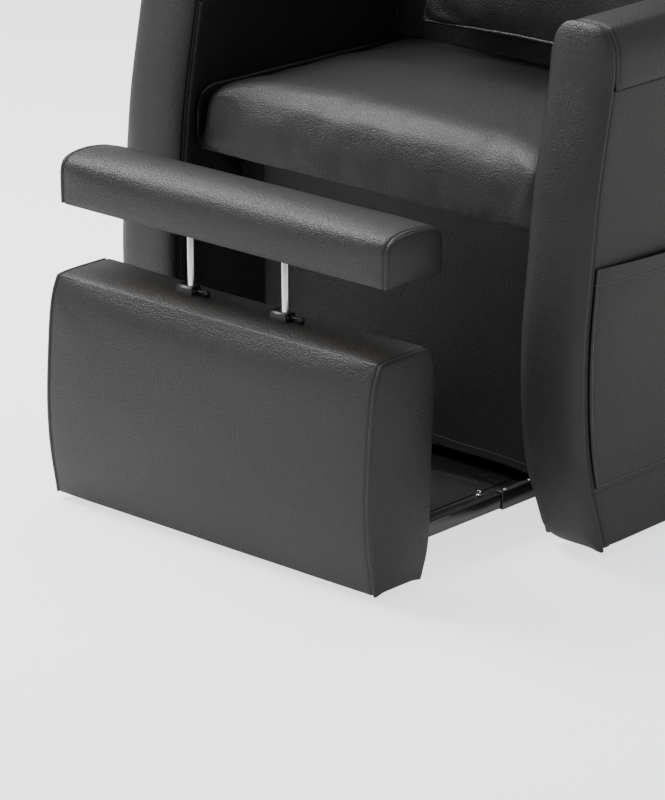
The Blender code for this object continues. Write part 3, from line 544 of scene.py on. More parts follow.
def four_sides(outline, across=1, lean=0.0):
    """Cut a closed outline at its four corners: bottom, right, top, left. Bottom and top run
    the same way, and so do left and right. across is the outline's level axis."""
    cos, sin = math.cos(lean), math.sin(lean)
    turned = [(p[across] * cos - p.z * sin, p[across] * sin + p.z * cos) for p in outline]
    cuts = [max(range(len(outline)), key=lambda i: turned[i][0] * a + turned[i][1] * b)
            for a, b in ((-1, -1), (1, -1), (1, 1), (-1, 1))]

    def stretch(start, end):
        count = len(outline)
        forward = [outline[(start + n) % count] for n in range((end - start) % count + 1)]
        backward = [outline[(start - n) % count] for n in range((start - end) % count + 1)]
        return min((forward, backward), key=line_length)

    low_left, low_right, high_right, high_left = cuts
    return (stretch(low_left, low_right), stretch(low_right, high_right),
            stretch(high_left, high_right), stretch(low_left, high_left))


# %% A patch between four sides
def walk(line, share):
    """The point at a share of a line's length."""
    steps = [(b - a).length for a, b in zip(line, line[1:])]
    left = share * sum(steps)
    for a, b, step in zip(line, line[1:], steps):
        if left <= step:
            return a.lerp(b, left / step if step else 0)
        left -= step
    return line[-1].copy()


def patch_point(sides, s, t):
    """A point inside four sides, blended from all of them (a Coons patch)."""
    bottom, right, top, left = sides
    along = walk(bottom, s).lerp(walk(top, s), t)
    up = walk(left, t).lerp(walk(right, t), s)
    corners = bottom[0].lerp(bottom[-1], s).lerp(top[0].lerp(top[-1], s), t)
    return along + up - corners


def spread(length, near, step):
    """Shares from 0 to 1: the near distances at both ends, and even steps between."""
    marks = [0.0] + list(near)
    room = length - 2 * marks[-1]
    count = max(1, round(room / step))
    middle = [marks[-1] + room * n / count for n in range(1, count)]
    places = marks + middle + [length - mark for mark in reversed(marks)]
    return [place / length for place in places]


# %% A closed box of quads
def brick(name, cells, place):
    """A closed box of quads. place(i, j, k) gives a point, and the numbers find it again."""
    numbers = {}
    mesh = bmesh.new()
    made = []

    def corner(i, j, k):
        if (i, j, k) not in numbers:
            numbers[(i, j, k)] = len(made)
            made.append(mesh.verts.new(place(i, j, k)))
        return made[numbers[(i, j, k)]]

    orders = (lambda a, b, c: (a, b, c), lambda a, b, c: (c, a, b), lambda a, b, c: (b, c, a))
    round_a_face = ((0, 0), (1, 0), (1, 1), (0, 1))
    for turn, order in enumerate(orders):
        ends, second, third = cells[turn], cells[(turn + 1) % 3], cells[(turn + 2) % 3]
        for a in (0, ends):
            for b in range(second):
                for c in range(third):
                    mesh.faces.new([corner(*order(a, b + m, c + n)) for m, n in round_a_face])
    bmesh.ops.recalc_face_normals(mesh, faces=mesh.faces)
    data = bpy.data.meshes.new(name)
    mesh.to_mesh(data)
    mesh.free()
    data.shade_smooth()
    return put(name, data), numbers


# %% [markdown]
# ## Seams
# A topstitched seam has three parts: the sunk seam itself, a raised band over the folded
# seam allowance, and a sunk line of stitches. Beyond that the padding swells. All of it is
# one short formula of the distance from the seam, and the rows near a seam follow it.

# %% The shape of a topstitched seam
WELT = 0.0072            # seam to stitch line
SEAM_ROWS = (0.0011, 0.0024, 0.0044, 0.0060, WELT, 0.0084, 0.0102, 0.0150, 0.0230)
PLAIN_ROWS = (0.0012, 0.0030, 0.0065, 0.0130, 0.0220)
STITCH_ROW = SEAM_ROWS.index(WELT) + 1


def dip(distance, centre, width):
    return math.exp(-((distance - centre) / width) ** 2)


def stitched(distance, puff=0.001):
    """How far a cover stands out beside a topstitched seam."""
    swell = puff * (1 - math.exp(-max(distance - WELT, 0) / 0.012))
    return swell - 0.0030 * dip(distance, 0, 0.0014) - 0.0024 * dip(distance, WELT, 0.0012)


def plain(distance, puff=0.001):
    """How far a cover stands out beside a plain seam."""
    return puff * (1 - math.exp(-distance / 0.010)) - 0.0018 * dip(distance, 0, 0.0014)


# %% Stuff a cover
def inflate(piece, held, pressure, cap, slack=0.0, frames=20):
    """Blow the cover up like a filled cushion. The held points stay, and the others move at
    most about cap, so that the padding keeps its size."""
    scene = bpy.context.scene
    before = [vertex.co.copy() for vertex in piece.data.vertices]
    pins = piece.vertex_groups.new(name="held")
    pins.add(list(held), 1.0, "REPLACE")
    cloth = piece.modifiers.new("fill", "CLOTH")
    settings = cloth.settings
    settings.vertex_group_mass = "held"
    settings.use_pressure = True
    settings.uniform_pressure_force = pressure
    settings.shrink_min = -slack
    settings.tension_stiffness = 20
    settings.compression_stiffness = 20
    settings.bending_stiffness = 2
    settings.effector_weights.gravity = 0
    cloth.collision_settings.use_collision = False
    cloth.point_cache.frame_start = 1
    cloth.point_cache.frame_end = frames
    for number in range(1, frames + 1):
        scene.frame_set(number)
    blown = piece.evaluated_get(bpy.context.evaluated_depsgraph_get())
    after = [vertex.co.copy() for vertex in blown.data.vertices]
    piece.modifiers.remove(cloth)
    piece.vertex_groups.remove(pins)
    scene.frame_set(1)
    farthest = 0.0
    for vertex, old, new in zip(piece.data.vertices, before, after):
        move = new - old
        if move.length > 1e-9:
            reach = cap * (1 - math.exp(-move.length / cap))
            vertex.co = old + move.normalized() * reach
            farthest = max(farthest, reach)
    print(piece.name, "swelled by up to", round(farthest * 1000, 1), "mm")


def wrinkle(piece, depth, grain, keep=None):
    """Low folds in the padding: stretched noise along the normals, less where keep says."""
    piece.data.update()
    normals = [vertex.normal.copy() for vertex in piece.data.vertices]
    for vertex, normal in zip(piece.data.vertices, normals):
        point = vertex.co
        spot = [place * scale for place, scale in zip(point, grain)]
        finer = [place * scale * 2.3 for place, scale in zip(point, grain)]
        finer[2] += 7
        fold = noise.noise(Vector(spot))
        fold += 0.5 * noise.noise(Vector(finer))
        share = keep(vertex.co) if keep else 1.0
        vertex.co = point + normal * (depth * fold * share)


# %% Finish a cover
def subdivide(piece):
    """Apply one subdivision. The points that were there keep their numbers."""
    piece.modifiers.new("round", "SUBSURF").levels = 1
    bake(piece)


def bake(piece):
    """Apply the piece's modifiers and keep the result as its mesh."""
    old, piece.data = piece.data, settled(piece, piece.name)
    piece.modifiers.clear()
    bpy.data.meshes.remove(old)


def dress(piece, body, nodes=(), slot="vinyl", material=None):
    """Give a piece its finish, its body and the CAD parts that it stands for."""
    piece.data.materials.clear()
    piece.data.materials.append(material or FINISHES[slot])
    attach(piece, body)
    if nodes:
        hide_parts(*nodes)
    print(piece.name, len(piece.data.polygons), "faces")
    return piece


# %% [markdown]
# ## Stitches and piping
# A row of stitches is one small shape repeated along a line, so Geometry Nodes make it: the
# line is measured out at the pitch, a capsule is set on each mark and turned along the
# line. Piping is a cord in a sleeve of vinyl: a round tube along the seam.

# %% The stitch tree
def new_grower(name, shape_in, numbers, shape_out):
    """An empty Geometry Nodes tree: a shape, some numbers and a finish in, a shape out."""
    tree = bpy.data.node_groups.new(name, "GeometryNodeTree")
    face = tree.interface
    face.new_socket(shape_in, in_out="INPUT", socket_type="NodeSocketGeometry")
    for label, value in numbers:
        face.new_socket(label, in_out="INPUT", socket_type="NodeSocketFloat").default_value = value
    face.new_socket("Finish", in_out="INPUT", socket_type="NodeSocketMaterial")
    face.new_socket(shape_out, in_out="OUTPUT", socket_type="NodeSocketGeometry")
    return tree, tree.nodes.new, tree.nodes.new("NodeGroupInput"), tree.nodes.new("NodeGroupOutput")


def end_grower(tree, start, end, instances, shape_out):
    """Make the instances real and paint them."""
    real = tree.nodes.new("GeometryNodeRealizeInstances")
    paint = tree.nodes.new("GeometryNodeSetMaterial")
    wire(tree, (instances, "Instances", real, "Geometry"), (real, "Geometry", paint, "Geometry"),
         (start, "Finish", paint, "Material"), (paint, "Geometry", end, shape_out))
    return tree


def round_ball(new, segments, rings, radius):
    ball = new("GeometryNodeMeshUVSphere")
    for label, value in (("Segments", segments), ("Rings", rings), ("Radius", radius)):
        ball.inputs[label].default_value = value
    return ball


def build_stitch_tree():
    tree, new, start, end = new_grower(
        "stitch_run", "Line", (("Pitch", 0.0042), ("Stitch", 0.0033), ("Thread", 0.0009)), "Stitches")
    curve = new("GeometryNodeMeshToCurve")
    marks = new("GeometryNodeResampleCurve")
    marks.mode = "LENGTH"
    ball = round_ball(new, 6, 4, 0.5)
    rounded = new("GeometryNodeSetShadeSmooth")
    size = new("ShaderNodeCombineXYZ")
    tangent = new("GeometryNodeInputTangent")
    turn = new("FunctionNodeAlignRotationToVector")
    turn.axis = "Z"
    sewn = new("GeometryNodeInstanceOnPoints")
    wire(tree, (start, "Line", curve, "Mesh"), (curve, "Curve", marks, "Curve"),
         (start, "Pitch", marks, "Length"), (ball, "Mesh", rounded, "Geometry"),
         (start, "Thread", size, "X"), (start, "Thread", size, "Y"), (start, "Stitch", size, "Z"),
         (tangent, "Tangent", turn, "Vector"), (marks, "Curve", sewn, "Points"),
         (rounded, "Geometry", sewn, "Instance"), (turn, "Rotation", sewn, "Rotation"),
         (size, "Vector", sewn, "Scale"))
    return end_grower(tree, start, end, sewn, "Stitches")


STITCH_TREE = build_stitch_tree()


# %% Sew a line and lay a cord
def from_seed(name, data, set_up=None):
    """A plain mesh piece made from a seed object, which is thrown away."""
    seed = put(name + "_seed", data)
    if set_up:
        set_up(seed)
    mesh = settled(seed, name)
    bpy.data.objects.remove(seed)
    return put(name, mesh)


def grown(name, mesh, tree, values):
    """Run a Geometry Nodes tree on a mesh and keep the result as a plain mesh."""
    def set_up(seed):
        step = seed.modifiers.new("grow", "NODES")
        step.node_group = tree
        for item in tree.interface.items_tree:
            if item.in_out == "INPUT" and item.name in values:
                step[item.identifier] = values[item.name]

    return from_seed(name, mesh, set_up)


def sew(name, lines, body):
    """One piece of thread for all the lines given; a line is (points, closed)."""
    points, edges = [], []
    for line, closed in lines:
        first = len(points)
        points += line
        edges += [(first + n, first + n + 1) for n in range(len(line) - 1)]
        if closed:
            edges.append((first + len(line) - 1, first))
    mesh = bpy.data.meshes.new(name + "_line")
    mesh.from_pydata(points, edges, [])
    return dress(grown(name, mesh, STITCH_TREE, {"Finish": THREAD}), body, material=THREAD)


def cording(name, line, radius, body):
    """A round cord along a closed line of points."""
    curve = bpy.data.curves.new(name + "_line", "CURVE")
    curve.dimensions = "3D"
    curve.bevel_depth = radius
    curve.bevel_resolution = 3
    run = curve.splines.new("POLY")
    run.points.add(len(line) - 1)
    for point, place in zip(run.points, line):
        point.co = (*place, 1)
    run.use_cyclic_u = True
    piece = from_seed(name, curve)
    piece.data.shade_smooth()
    return dress(piece, body)


def on_cover(piece, numbers, keys, lift=0.0004):
    """Places of grid points on the finished cover, lifted a little off it."""
    vertices = piece.data.vertices
    return [vertices[numbers[key]].co + vertices[numbers[key]].normal * lift for key in keys]


# %% [markdown]
# ## Bolsters
# The box, the footrest pad, the seat and the back are bolsters: one outline drawn through
# space, closed by a panel at each end. The outline comes from the CAD part's flat end. The
# rows along the bolster get closer near the ends, where the end panel is sewn in.

# %% Make a bolster
def ring_keys(cells_a, cells_b):
    """The border of a grid, once round."""
    keys = [(a, 0) for a in range(cells_a)] + [(cells_a, b) for b in range(cells_b)]
    keys += [(a, cells_b) for a in range(cells_a, 0, -1)] + [(0, b) for b in range(cells_b, 0, -1)]
    return keys


def bolster(name, sides, reach, step, relief, end_relief, end_rows=SEAM_ROWS, crown=0.002, axis=0):
    """Draw the outline's four sides along an axis (0 or 1), from reach[0] to reach[1].
    relief(distance, point) moves the skin out of the outline, distance being measured from
    the nearer end, and end_relief(distance) moves an end panel outwards."""
    low, high = reach
    stations = [low + (high - low) * share for share in spread(high - low, end_rows, step)]
    rows_a = spread(line_length(sides[0]), PLAIN_ROWS[:3], step * 1.3)
    rows_b = spread(line_length(sides[3]), PLAIN_ROWS[:3], step)
    cells = (len(stations) - 1, len(rows_a) - 1, len(rows_b) - 1)
    flat = {(j, k): patch_point(sides, rows_a[j], rows_b[k])
            for j in range(cells[1] + 1) for k in range(cells[2] + 1)}
    ring = ring_keys(cells[1], cells[2])
    middle = sum((flat[key] for key in ring), Vector()) / len(ring)
    level = 1 - axis
    outward = {}
    for n, key in enumerate(ring):
        tangent = (flat[ring[(n + 1) % len(ring)]] - flat[ring[n - 1]]).normalized()
        normal = Vector((0, 0, -tangent[level]))
        normal[level] = tangent.z
        outward[key] = normal if normal.dot(flat[key] - middle) > 0 else -normal

    def place(i, j, k):
        at = stations[i]
        point = flat[(j, k)].copy()
        point[axis] = at
        if (j, k) in outward:
            return point + outward[(j, k)] * relief(min(at - low, high - at), point)
        edge = min((flat[(j, k)] - flat[key]).length for key in ring)
        dome = (1 - abs(2 * rows_a[j] - 1) ** 2.4) * (1 - abs(2 * rows_b[k] - 1) ** 3.2)
        point[axis] += (end_relief(edge) + crown * dome) * (1 if i else -1)
        return point

    piece, numbers = brick(name, cells, place)
    return piece, numbers, cells, ring


def seam_lines(piece, numbers, cells, ring, skip=None):
    """The lines of grid points to stitch along, near each end of a bolster."""
    lines = []
    for i in (STITCH_ROW, cells[0] - STITCH_ROW):
        keys = [(i, j, k) for j, k in ring if not skip or not skip(j, k)]
        lines.append((on_cover(piece, numbers, keys), skip is None))
    return lines


def cut_away(piece, low, high):
    """Cut a box-shaped recess out of a finished cover."""
    ends = (low, high)
    knife, _ = brick("knife", (1, 1, 1), lambda i, j, k: Vector((ends[i][0], ends[j][1], ends[k][2])))
    step = piece.modifiers.new("recess", "BOOLEAN")
    step.object = knife
    step.operation = "DIFFERENCE"
    step.solver = "EXACT"
    bake(piece)
    bpy.data.objects.remove(knife)


def droop(piece, corners, depth, reach=0.012):
    """Pull the gathered corners of a seam down a little, as they hang on sewn vinyl."""
    for vertex in piece.data.vertices:
        for corner in corners:
            vertex.co.z -= depth * math.exp(-((vertex.co - corner).length / reach) ** 2)


# %% [markdown]
# ## The front box
# The box is plywood with thin foam and vinyl over it. Its face bulges like a barrel stave
# and tucks in at the bottom. A plain outline drawn along X gives the shape, a short cloth
# simulation the slight swelling, and the end panels are sewn in with a topstitched seam.

# %% The box cover
SKIN_PLAY = 0.0012       # covers start this much inside the CAD part, and swell back out
SEWN_ROWS = 8            # stations next to an end panel that its seam holds


def below_and_ends(numbers, cells):
    """The points that stay put: the underside, and the cloth beside each end panel."""
    return {numbers[key] for key in numbers if key[2] == 0 or min(key[0], cells[0] - key[0]) <= SEWN_ROWS}


box_sides = four_sides(end_outline("box_cover", 0))
box_half = box_high.x - SKIN_PLAY
box_cover, box_numbers, box_cells, box_ring = bolster(
    "front_box_cover", box_sides, (-box_half, box_half), 0.015,
    lambda d, p: stitched(d, 0.0012), lambda e: plain(e, 0.0012), crown=0.010)
inflate(box_cover, below_and_ends(box_numbers, box_cells), 2.5, 0.003)
wrinkle(box_cover, 0.0004, (9, 14, 22))
subdivide(box_cover)
droop(box_cover, [Vector((side * box_half, box_low.y + shift, box_low.z)) for _, side in LEFT_AND_RIGHT
                  for shift in (0.014, 0.101)], 0.003, 0.010)
box_stitches = seam_lines(box_cover, box_numbers, box_cells, box_ring)
BOX_HEM = 0.030          # vinyl folded under the box at each end; the wheels stand between
cut_away(box_cover, (-box_half + BOX_HEM, box_low.y + 0.026, -0.01),
         (box_half - BOX_HEM, box_low.y + 0.092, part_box("wheel_fork_left")[1].z))
dress(box_cover, "tray", ["box_cover"])
sew("front_box_stitches", box_stitches, "tray")

# %% [markdown]
# ## The footrest pad
# A short bolster on a board: flat below, upright in front, and rounded over the top, where
# calves rest. It could be one soft lump, but the sharp seam round each end panel is what
# makes it read as upholstery, so it is made like the box, with more filling.

# %% The footrest cover
pad_low, pad_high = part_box("footrest_pad")
pad_half = pad_high.x - SKIN_PLAY
pad_sides = four_sides(end_outline("footrest_pad", 0))
pad_cover, pad_numbers, pad_cells, pad_ring = bolster(
    "footrest_cover", pad_sides, (-pad_half, pad_half), 0.011,
    lambda d, p: stitched(d, 0.0018 if p.z > pad_low.z + 0.004 else 0.0), lambda e: plain(e, 0.0012),
    crown=0.008)
inflate(pad_cover, below_and_ends(pad_numbers, pad_cells), 3.5, 0.004)
wrinkle(pad_cover, 0.0005, (11, 24, 24), lambda p: min(1.0, (p.z - pad_low.z) / 0.02))
subdivide(pad_cover)
pad_stitches = seam_lines(pad_cover, pad_numbers, pad_cells, pad_ring, lambda j, k: k == 0)
RIM = 0.012              # vinyl folded under the pad round its board
cut_away(pad_cover, (-pad_half + RIM, pad_low.y + RIM, pad_low.z - 0.02),
         (pad_half - RIM, pad_high.y - RIM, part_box("footrest_board")[0].z + 0.001))
dress(pad_cover, "footrest", ["footrest_pad"])
sew("footrest_stitches", pad_stitches, "footrest")

# %% [markdown]
# ## The seat
# One deep cushion with a waterfall front: no seam shows on it, the vinyl is simply pulled
# over a crowned foam block. Here the cloth simulation does most of the work. The ends and
# the underside are held, and the rest is blown up, with slightly too much cloth, so that it
# ripples as vinyl does over foam.

# %% The seat cover
seat_low, seat_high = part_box("seat_cushion")
seat_half = seat_high.x - 0.003
SEAT_ROUND = 0.032       # rounding of the seat's ends
SEAT_CROWN = 0.013
SEAT_ROLL = 0.060        # the waterfall at the front is rolled over this radius


def seat_relief(distance, point):
    """Round the ends over, and raise a crown towards the middle of the top."""
    upper = held_between((point.z - seat_low.z) / 0.035)
    short = max(0.0, SEAT_ROUND - distance)
    rolled = SEAT_ROUND - math.sqrt(SEAT_ROUND ** 2 - short ** 2)
    middle = 1 - abs(point.x / seat_half) ** 2.4
    top = held_between((point.z - seat_high.z + 0.030) / 0.025)
    back = held_between((seat_high.y - 0.05 - point.y) / 0.15)
    return SEAT_CROWN * middle * top * back - rolled * upper


seat_sides = four_sides(end_outline("seat_cushion", 0))
seat_cover, seat_numbers, seat_cells, _ = bolster(
    "seat_cover", seat_sides, (-seat_half, seat_half), 0.011, seat_relief, lambda e: 0.0,
    end_rows=(0.0015, 0.0045, 0.0095, 0.0160, 0.0240, 0.0330))
roll_start = seat_high.z - SEAT_ROLL
for vertex in seat_cover.data.vertices:
    climb = held_between((vertex.co.z - roll_start) / (SEAT_ROLL + SEAT_CROWN))
    rolled_back = seat_low.y + 0.75 * SEAT_ROLL * (1 - math.sqrt(1 - climb ** 2))
    vertex.co.y = max(vertex.co.y, rolled_back)
seat_held = [seat_numbers[key] for key in seat_numbers
             if key[2] == 0 or key[1] == seat_cells[1] or key[0] in (0, seat_cells[0])]
inflate(seat_cover, seat_held, 4.0, 0.007, slack=0.012)


def front_share(point):
    """More folds low on the front and near the ends, fewer on the sat-on middle."""
    low_front = max(0.0, 1 - (point.y - seat_low.y) / 0.06)
    return 0.35 + 0.9 * low_front + 0.5 * (abs(point.x) / seat_half) ** 4


wrinkle(seat_cover, 0.0007, (10, 26, 46), front_share)
subdivide(seat_cover)
dress(seat_cover, "chair", ["seat_cushion"])
print("seat top at", round(max(v.co.z for v in seat_cover.data.vertices), 4))

# %% [markdown]
# ## Padded panels
# The sides of the arms, the outer back and the panels under the seat are boards with thin
# foam and vinyl. Each is a flat box of quads whose shown face stands out a little, and sinks
# at its seams. The same tool makes a panel that leans, because it only needs four sides and
# the way inwards.

# %% Make a padded panel
PANEL_ROWS = (0.0014, 0.0032, 0.0070, 0.0140)


def with_marks(shares, length, marks):
    """Add marks to a row of shares, and drop the shares that they crowd."""
    kept = [share for share in shares if share in (0.0, 1.0) or
            all(abs(share * length - mark) > 0.0025 for mark in marks)]
    return sorted(kept + [mark / length for mark in marks])


def panel(name, sides, inward, thick, step, relief, rows=PANEL_ROWS, up_marks=(), follow=False):
    """A box of quads behind a shown face. relief(gaps, point) is how far the face stands out,
    and gaps are the distances to the bottom, right, top and left sides."""
    wide, tall = line_length(sides[0]), line_length(sides[3])
    across = spread(wide, rows, step)
    up = with_marks(spread(tall, rows, step), tall, up_marks)
    cells = (len(across) - 1, 3, len(up) - 1)
    rim = min(0.0022, thick * 0.3)

    def place(i, j, k):
        s, t = across[i], up[k]
        point = patch_point(sides, s, t)
        out = relief((t * tall, (1 - s) * wide, (1 - t) * tall, s * wide), point)
        depths = [-out, rim, thick - rim, thick]
        if follow:
            depths = [-out, rim - out, thick - rim - out, thick - out]
        return point + inward * depths[j]

    piece, numbers = brick(name, cells, place)
    return piece, numbers, cells, (across, up, wide, tall)


def row_near(shares, length, distance):
    """The number of the row that lies nearest to a distance along a side."""
    return min(range(len(shares)), key=lambda n: abs(shares[n] * length - distance))


def quad_sides(low_left, low_right, high_right, high_left):
    """Four straight sides: bottom, right, top, left."""
    corners = [Vector(point) for point in (low_left, low_right, high_right, high_left)]
    a, b, c, d = corners
    return [a, b], [b, c], [d, c], [a, d]


# %% [markdown]
# ## The back
# The back is one thick cushion over a frame, leaning back, with a panel behind it. Its lean
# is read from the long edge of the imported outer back.

# %% The inner back and the outer back
lean_line = end_outline("outer_back", 0)
lean_edge = max(zip(lean_line, lean_line[1:] + lean_line[:1]), key=lambda e: abs((e[1] - e[0]).z))
lean_run = lean_edge[1] - lean_edge[0]
LEAN = math.atan2(abs(lean_run.y), abs(lean_run.z))
UP = Vector((0, math.sin(LEAN), math.cos(LEAN)))
BACKWARD = Vector((0, math.cos(LEAN), -math.sin(LEAN)))
print("the back leans by", round(math.degrees(LEAN), 2), "degrees")


def leaning_extent(node):
    """How far a leaning part reaches along UP and along BACKWARD: (low, high), (front, rear)."""
    points = end_outline(node, 0)
    rises = [point.dot(UP) for point in points]
    depths = [point.dot(BACKWARD) for point in points]
    return (min(rises), max(rises)), (min(depths), max(depths))


def leaning(x, depth, rise):
    return Vector((x, 0, 0)) + BACKWARD * depth + UP * rise


back_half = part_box("inner_back")[1].x - SKIN_PLAY
inner_cover = bolster(
    "inner_back_cover", four_sides(end_outline("inner_back", 0), lean=-LEAN), (-back_half, back_half), 0.016,
    lambda d, p: plain(d, 0.0) - 0.004 * max(0.0, 1 - d / 0.016) ** 2, lambda e: 0.0, end_rows=PLAIN_ROWS)[0]
wrinkle(inner_cover, 0.0008, (7, 16, 9))
REST_DROP = 0.0055       # the back's lower edge is drawn down onto the seat
inner_rise = min(vertex.co.dot(UP) for vertex in inner_cover.data.vertices)
for vertex in inner_cover.data.vertices:
    vertex.co -= UP * REST_DROP * max(0.0, 1 - (vertex.co.dot(UP) - inner_rise) / 0.05)
subdivide(inner_cover)
dress(inner_cover, "chair", ["inner_back"])

(outer_low, outer_high), (outer_front, outer_rear) = leaning_extent("outer_back")
outer_sides = quad_sides(*(leaning(side * back_half, outer_rear, rise) for side, rise in (
    (1, outer_low), (-1, outer_low), (-1, outer_high), (1, outer_high))))


def edge_sink(gaps, point=None, swell=0.0010):
    """A panel that is pulled down along all its edges and a little full in the middle."""
    return plain(min(gaps), swell) - swell


outer_cover, outer_numbers, outer_cells, _ = panel(
    "outer_back_cover", outer_sides, -BACKWARD, outer_rear - outer_front, 0.020, edge_sink)
wrinkle(outer_cover, 0.0005, (8, 10, 6), lambda p: 1.0 if p.dot(BACKWARD) > outer_rear - 0.002 else 0.0)
subdivide(outer_cover)
dress(outer_cover, "chair", ["outer_back"])
back_loop = [(i, 0, k) for i, k in ring_keys(outer_cells[0], outer_cells[2])]
cording("outer_back_piping", on_cover(outer_cover, outer_numbers, back_loop, 0.0), 0.0022, "chair")

# %% [markdown]
# ## The back pillow
# A loose pillow leans on the inner back. It is two panels sewn round a piping cord, and
# stuffed: thin at the cord, thick in the middle, with short gathers along the seam. A dome
# formula gives the start, and the cloth simulation the stuffed look.

# %% The pillow and its piping
(pillow_low, pillow_high), (pillow_front, pillow_rear) = leaning_extent("back_pillow")
pillow_low -= 0.020      # the stuffing settles, so the pillow hangs a little below its CAD part
pillow_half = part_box("back_pillow")[1].x
PILLOW_ROWS = (0.0030, 0.0080, 0.0160, 0.0280)
PILLOW_SEAM = (0.22, 0.62)    # the seam's share of the way back, at the lower and upper edge
pillow_wide = 2 * pillow_half
pillow_tall = pillow_high - pillow_low
pillow_s = spread(pillow_wide, PILLOW_ROWS, 0.011)
pillow_t = spread(pillow_tall, PILLOW_ROWS, 0.011)
pillow_cells = (len(pillow_s) - 1, 2, len(pillow_t) - 1)
seam_middle = pillow_front + sum(PILLOW_SEAM) / 2 * (pillow_rear - pillow_front)


def pillow_place(i, j, k):
    s, t = 2 * pillow_s[i] - 1, 2 * pillow_t[k] - 1
    full = ((1 - abs(s) ** 2.4) * (1 - abs(t) ** 2.4)) ** 0.55
    share = PILLOW_SEAM[0] + (PILLOW_SEAM[1] - PILLOW_SEAM[0]) * (t + 1) / 2
    seam_depth = pillow_front + share * (pillow_rear - pillow_front)
    gap = min((1 - abs(s)) * pillow_half, (1 - abs(t)) * pillow_tall / 2)
    beside = (1 - abs(s)) * pillow_wide < (1 - abs(t)) * pillow_tall
    along = t * pillow_tall if beside else s * pillow_wide
    gather = 0.0011 * math.sin(along * 210 + 3 * math.sin(along * 37))
    gather = gather * math.exp(-gap / 0.016) * min(1.0, gap / 0.003)
    side = pillow_half * s * (1 - 0.020 * (1 - t * t))
    rise = (pillow_low + pillow_high) / 2 + pillow_tall / 2 * t * (1 - 0.022 * (1 - s * s))
    reach = (pillow_front - seam_depth, 0.0, pillow_rear - seam_depth)[j]
    rim = (-0.0022, 0.0, 0.0022)[j]
    return leaning(side, seam_depth + rim + (reach - rim) * full + (gather if j == 0 else 0), rise)


pillow_cover, pillow_numbers = brick("back_pillow_cover", pillow_cells, pillow_place)
pillow_ring = [(i, 1, k) for i, k in ring_keys(pillow_cells[0], pillow_cells[2])]
pillow_back = [key for key in pillow_numbers if key[1] == 2]
inflate(pillow_cover, {pillow_numbers[key] for key in pillow_ring + pillow_back}, 3.0, 0.005, slack=0.015)
wrinkle(pillow_cover, 0.0022, (9, 9, 13), lambda p: held_between((seam_middle - p.dot(BACKWARD)) / 0.02))
subdivide(pillow_cover)
dress(pillow_cover, "chair", ["back_pillow"])
cording("back_pillow_piping", on_cover(pillow_cover, pillow_numbers, pillow_ring, 0.0004), 0.0027, "chair")

# %% [markdown]
# ## Panels under the seat
# The front panel hangs between the arms behind the tray, and its hem is a little wavy. The
# rear panel closes the chair below the back.

# %% The front panel and the rear panel
front_low, front_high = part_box("front_panel")
HEM_LINE = 0.013         # stitch line above the front panel's hem
HEM_RAISE = 0.0034       # keeps the hem's lowest wave above the fixed rails


def hem_wave(x):
    return 0.0022 * math.sin(x * 17 + 0.6) + 0.0012 * math.sin(x * 41)


def upright_sides(x_start, x_end, y, low, high):
    return quad_sides((x_start, y, low), (x_end, y, low), (x_end, y, high), (x_start, y, high))


def around(mark, gap):
    """A row on a mark and one on each side of it."""
    return mark - gap, mark, mark + gap


front_sides = upright_sides(front_low.x, front_high.x, front_low.y, front_low.z, front_high.z - 0.001)
front_cover, front_numbers, front_cells, front_rows = panel(
    "front_panel_cover", front_sides, Vector((0, 1, 0)), front_high.y - front_low.y, 0.014,
    lambda g, p: edge_sink(g) - 0.0012 * dip(g[0], HEM_LINE, 0.0016), up_marks=around(HEM_LINE, 0.0015))
for vertex in front_cover.data.vertices:
    near_hem = max(0.0, 1 - (vertex.co.z - front_low.z) / 0.12)
    vertex.co.z += (hem_wave(vertex.co.x) + HEM_RAISE) * near_hem
wrinkle(front_cover, 0.0010, (9, 1, 7), lambda p: 1.0 if p.y < front_low.y + 0.004 else 0.0)
subdivide(front_cover)
hem_row = row_near(front_rows[1], front_rows[3], HEM_LINE)
front_stitch = on_cover(front_cover, front_numbers, [(i, 0, hem_row) for i in range(1, front_cells[0])])
dress(front_cover, "chair", ["front_panel"])
sew("front_panel_stitches", [(front_stitch, False)], "chair")

rear_low, rear_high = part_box("rear_panel")
rear_sides = upright_sides(rear_high.x, rear_low.x, rear_high.y, rear_low.z, rear_high.z)
rear_cover = panel("rear_panel_cover", rear_sides, Vector((0, -1, 0)), rear_high.y - rear_low.y, 0.020,
                   edge_sink)[0]
wrinkle(rear_cover, 0.0006, (9, 1, 7), lambda p: 1.0 if p.y > rear_high.y - 0.004 else 0.0)
subdivide(rear_cover)
dress(rear_cover, "chair", ["rear_panel"])

# %% [markdown]
# ## The arms
# An arm is a frame with five covers: a crowned strip up the curved front, a rounded pad on
# top, two flat sides and a closing piece behind. The topstitched seam runs on the sides and
# the top, just behind the front strip. Each piece takes its outline from the CAD: the strip's
# arch from the rear end of the arm's top, its curve from the strip's own side.

# %% The arms' shapes
STRIP_ROUND = 0.0105     # how deep the strip's edges are rounded
STRIP_REACH = 0.034      # how far in from an edge the rounding starts
STRIP_CROWN = 0.0012
STRIP_DEPTH = 0.0135     # thickness of the strip's foam and vinyl
STRIP_ROWS = (0.0016, 0.0042, 0.0080, 0.0125, 0.020)
FOOT_ROUND = 0.030       # rounding of the strip's lower inner corner


def height_line(side_line):
    """The depth of a side line at a height: y from z."""
    line = sorted(side_line, key=lambda p: p.z)

    def at(z):
        for a, b in zip(line, line[1:]):
            if a.z <= z <= b.z and b.z > a.z:
                return a.y + (b.y - a.y) * (z - a.z) / (b.z - a.z)
        return line[0].y if z < line[0].z else line[-1].y

    return at


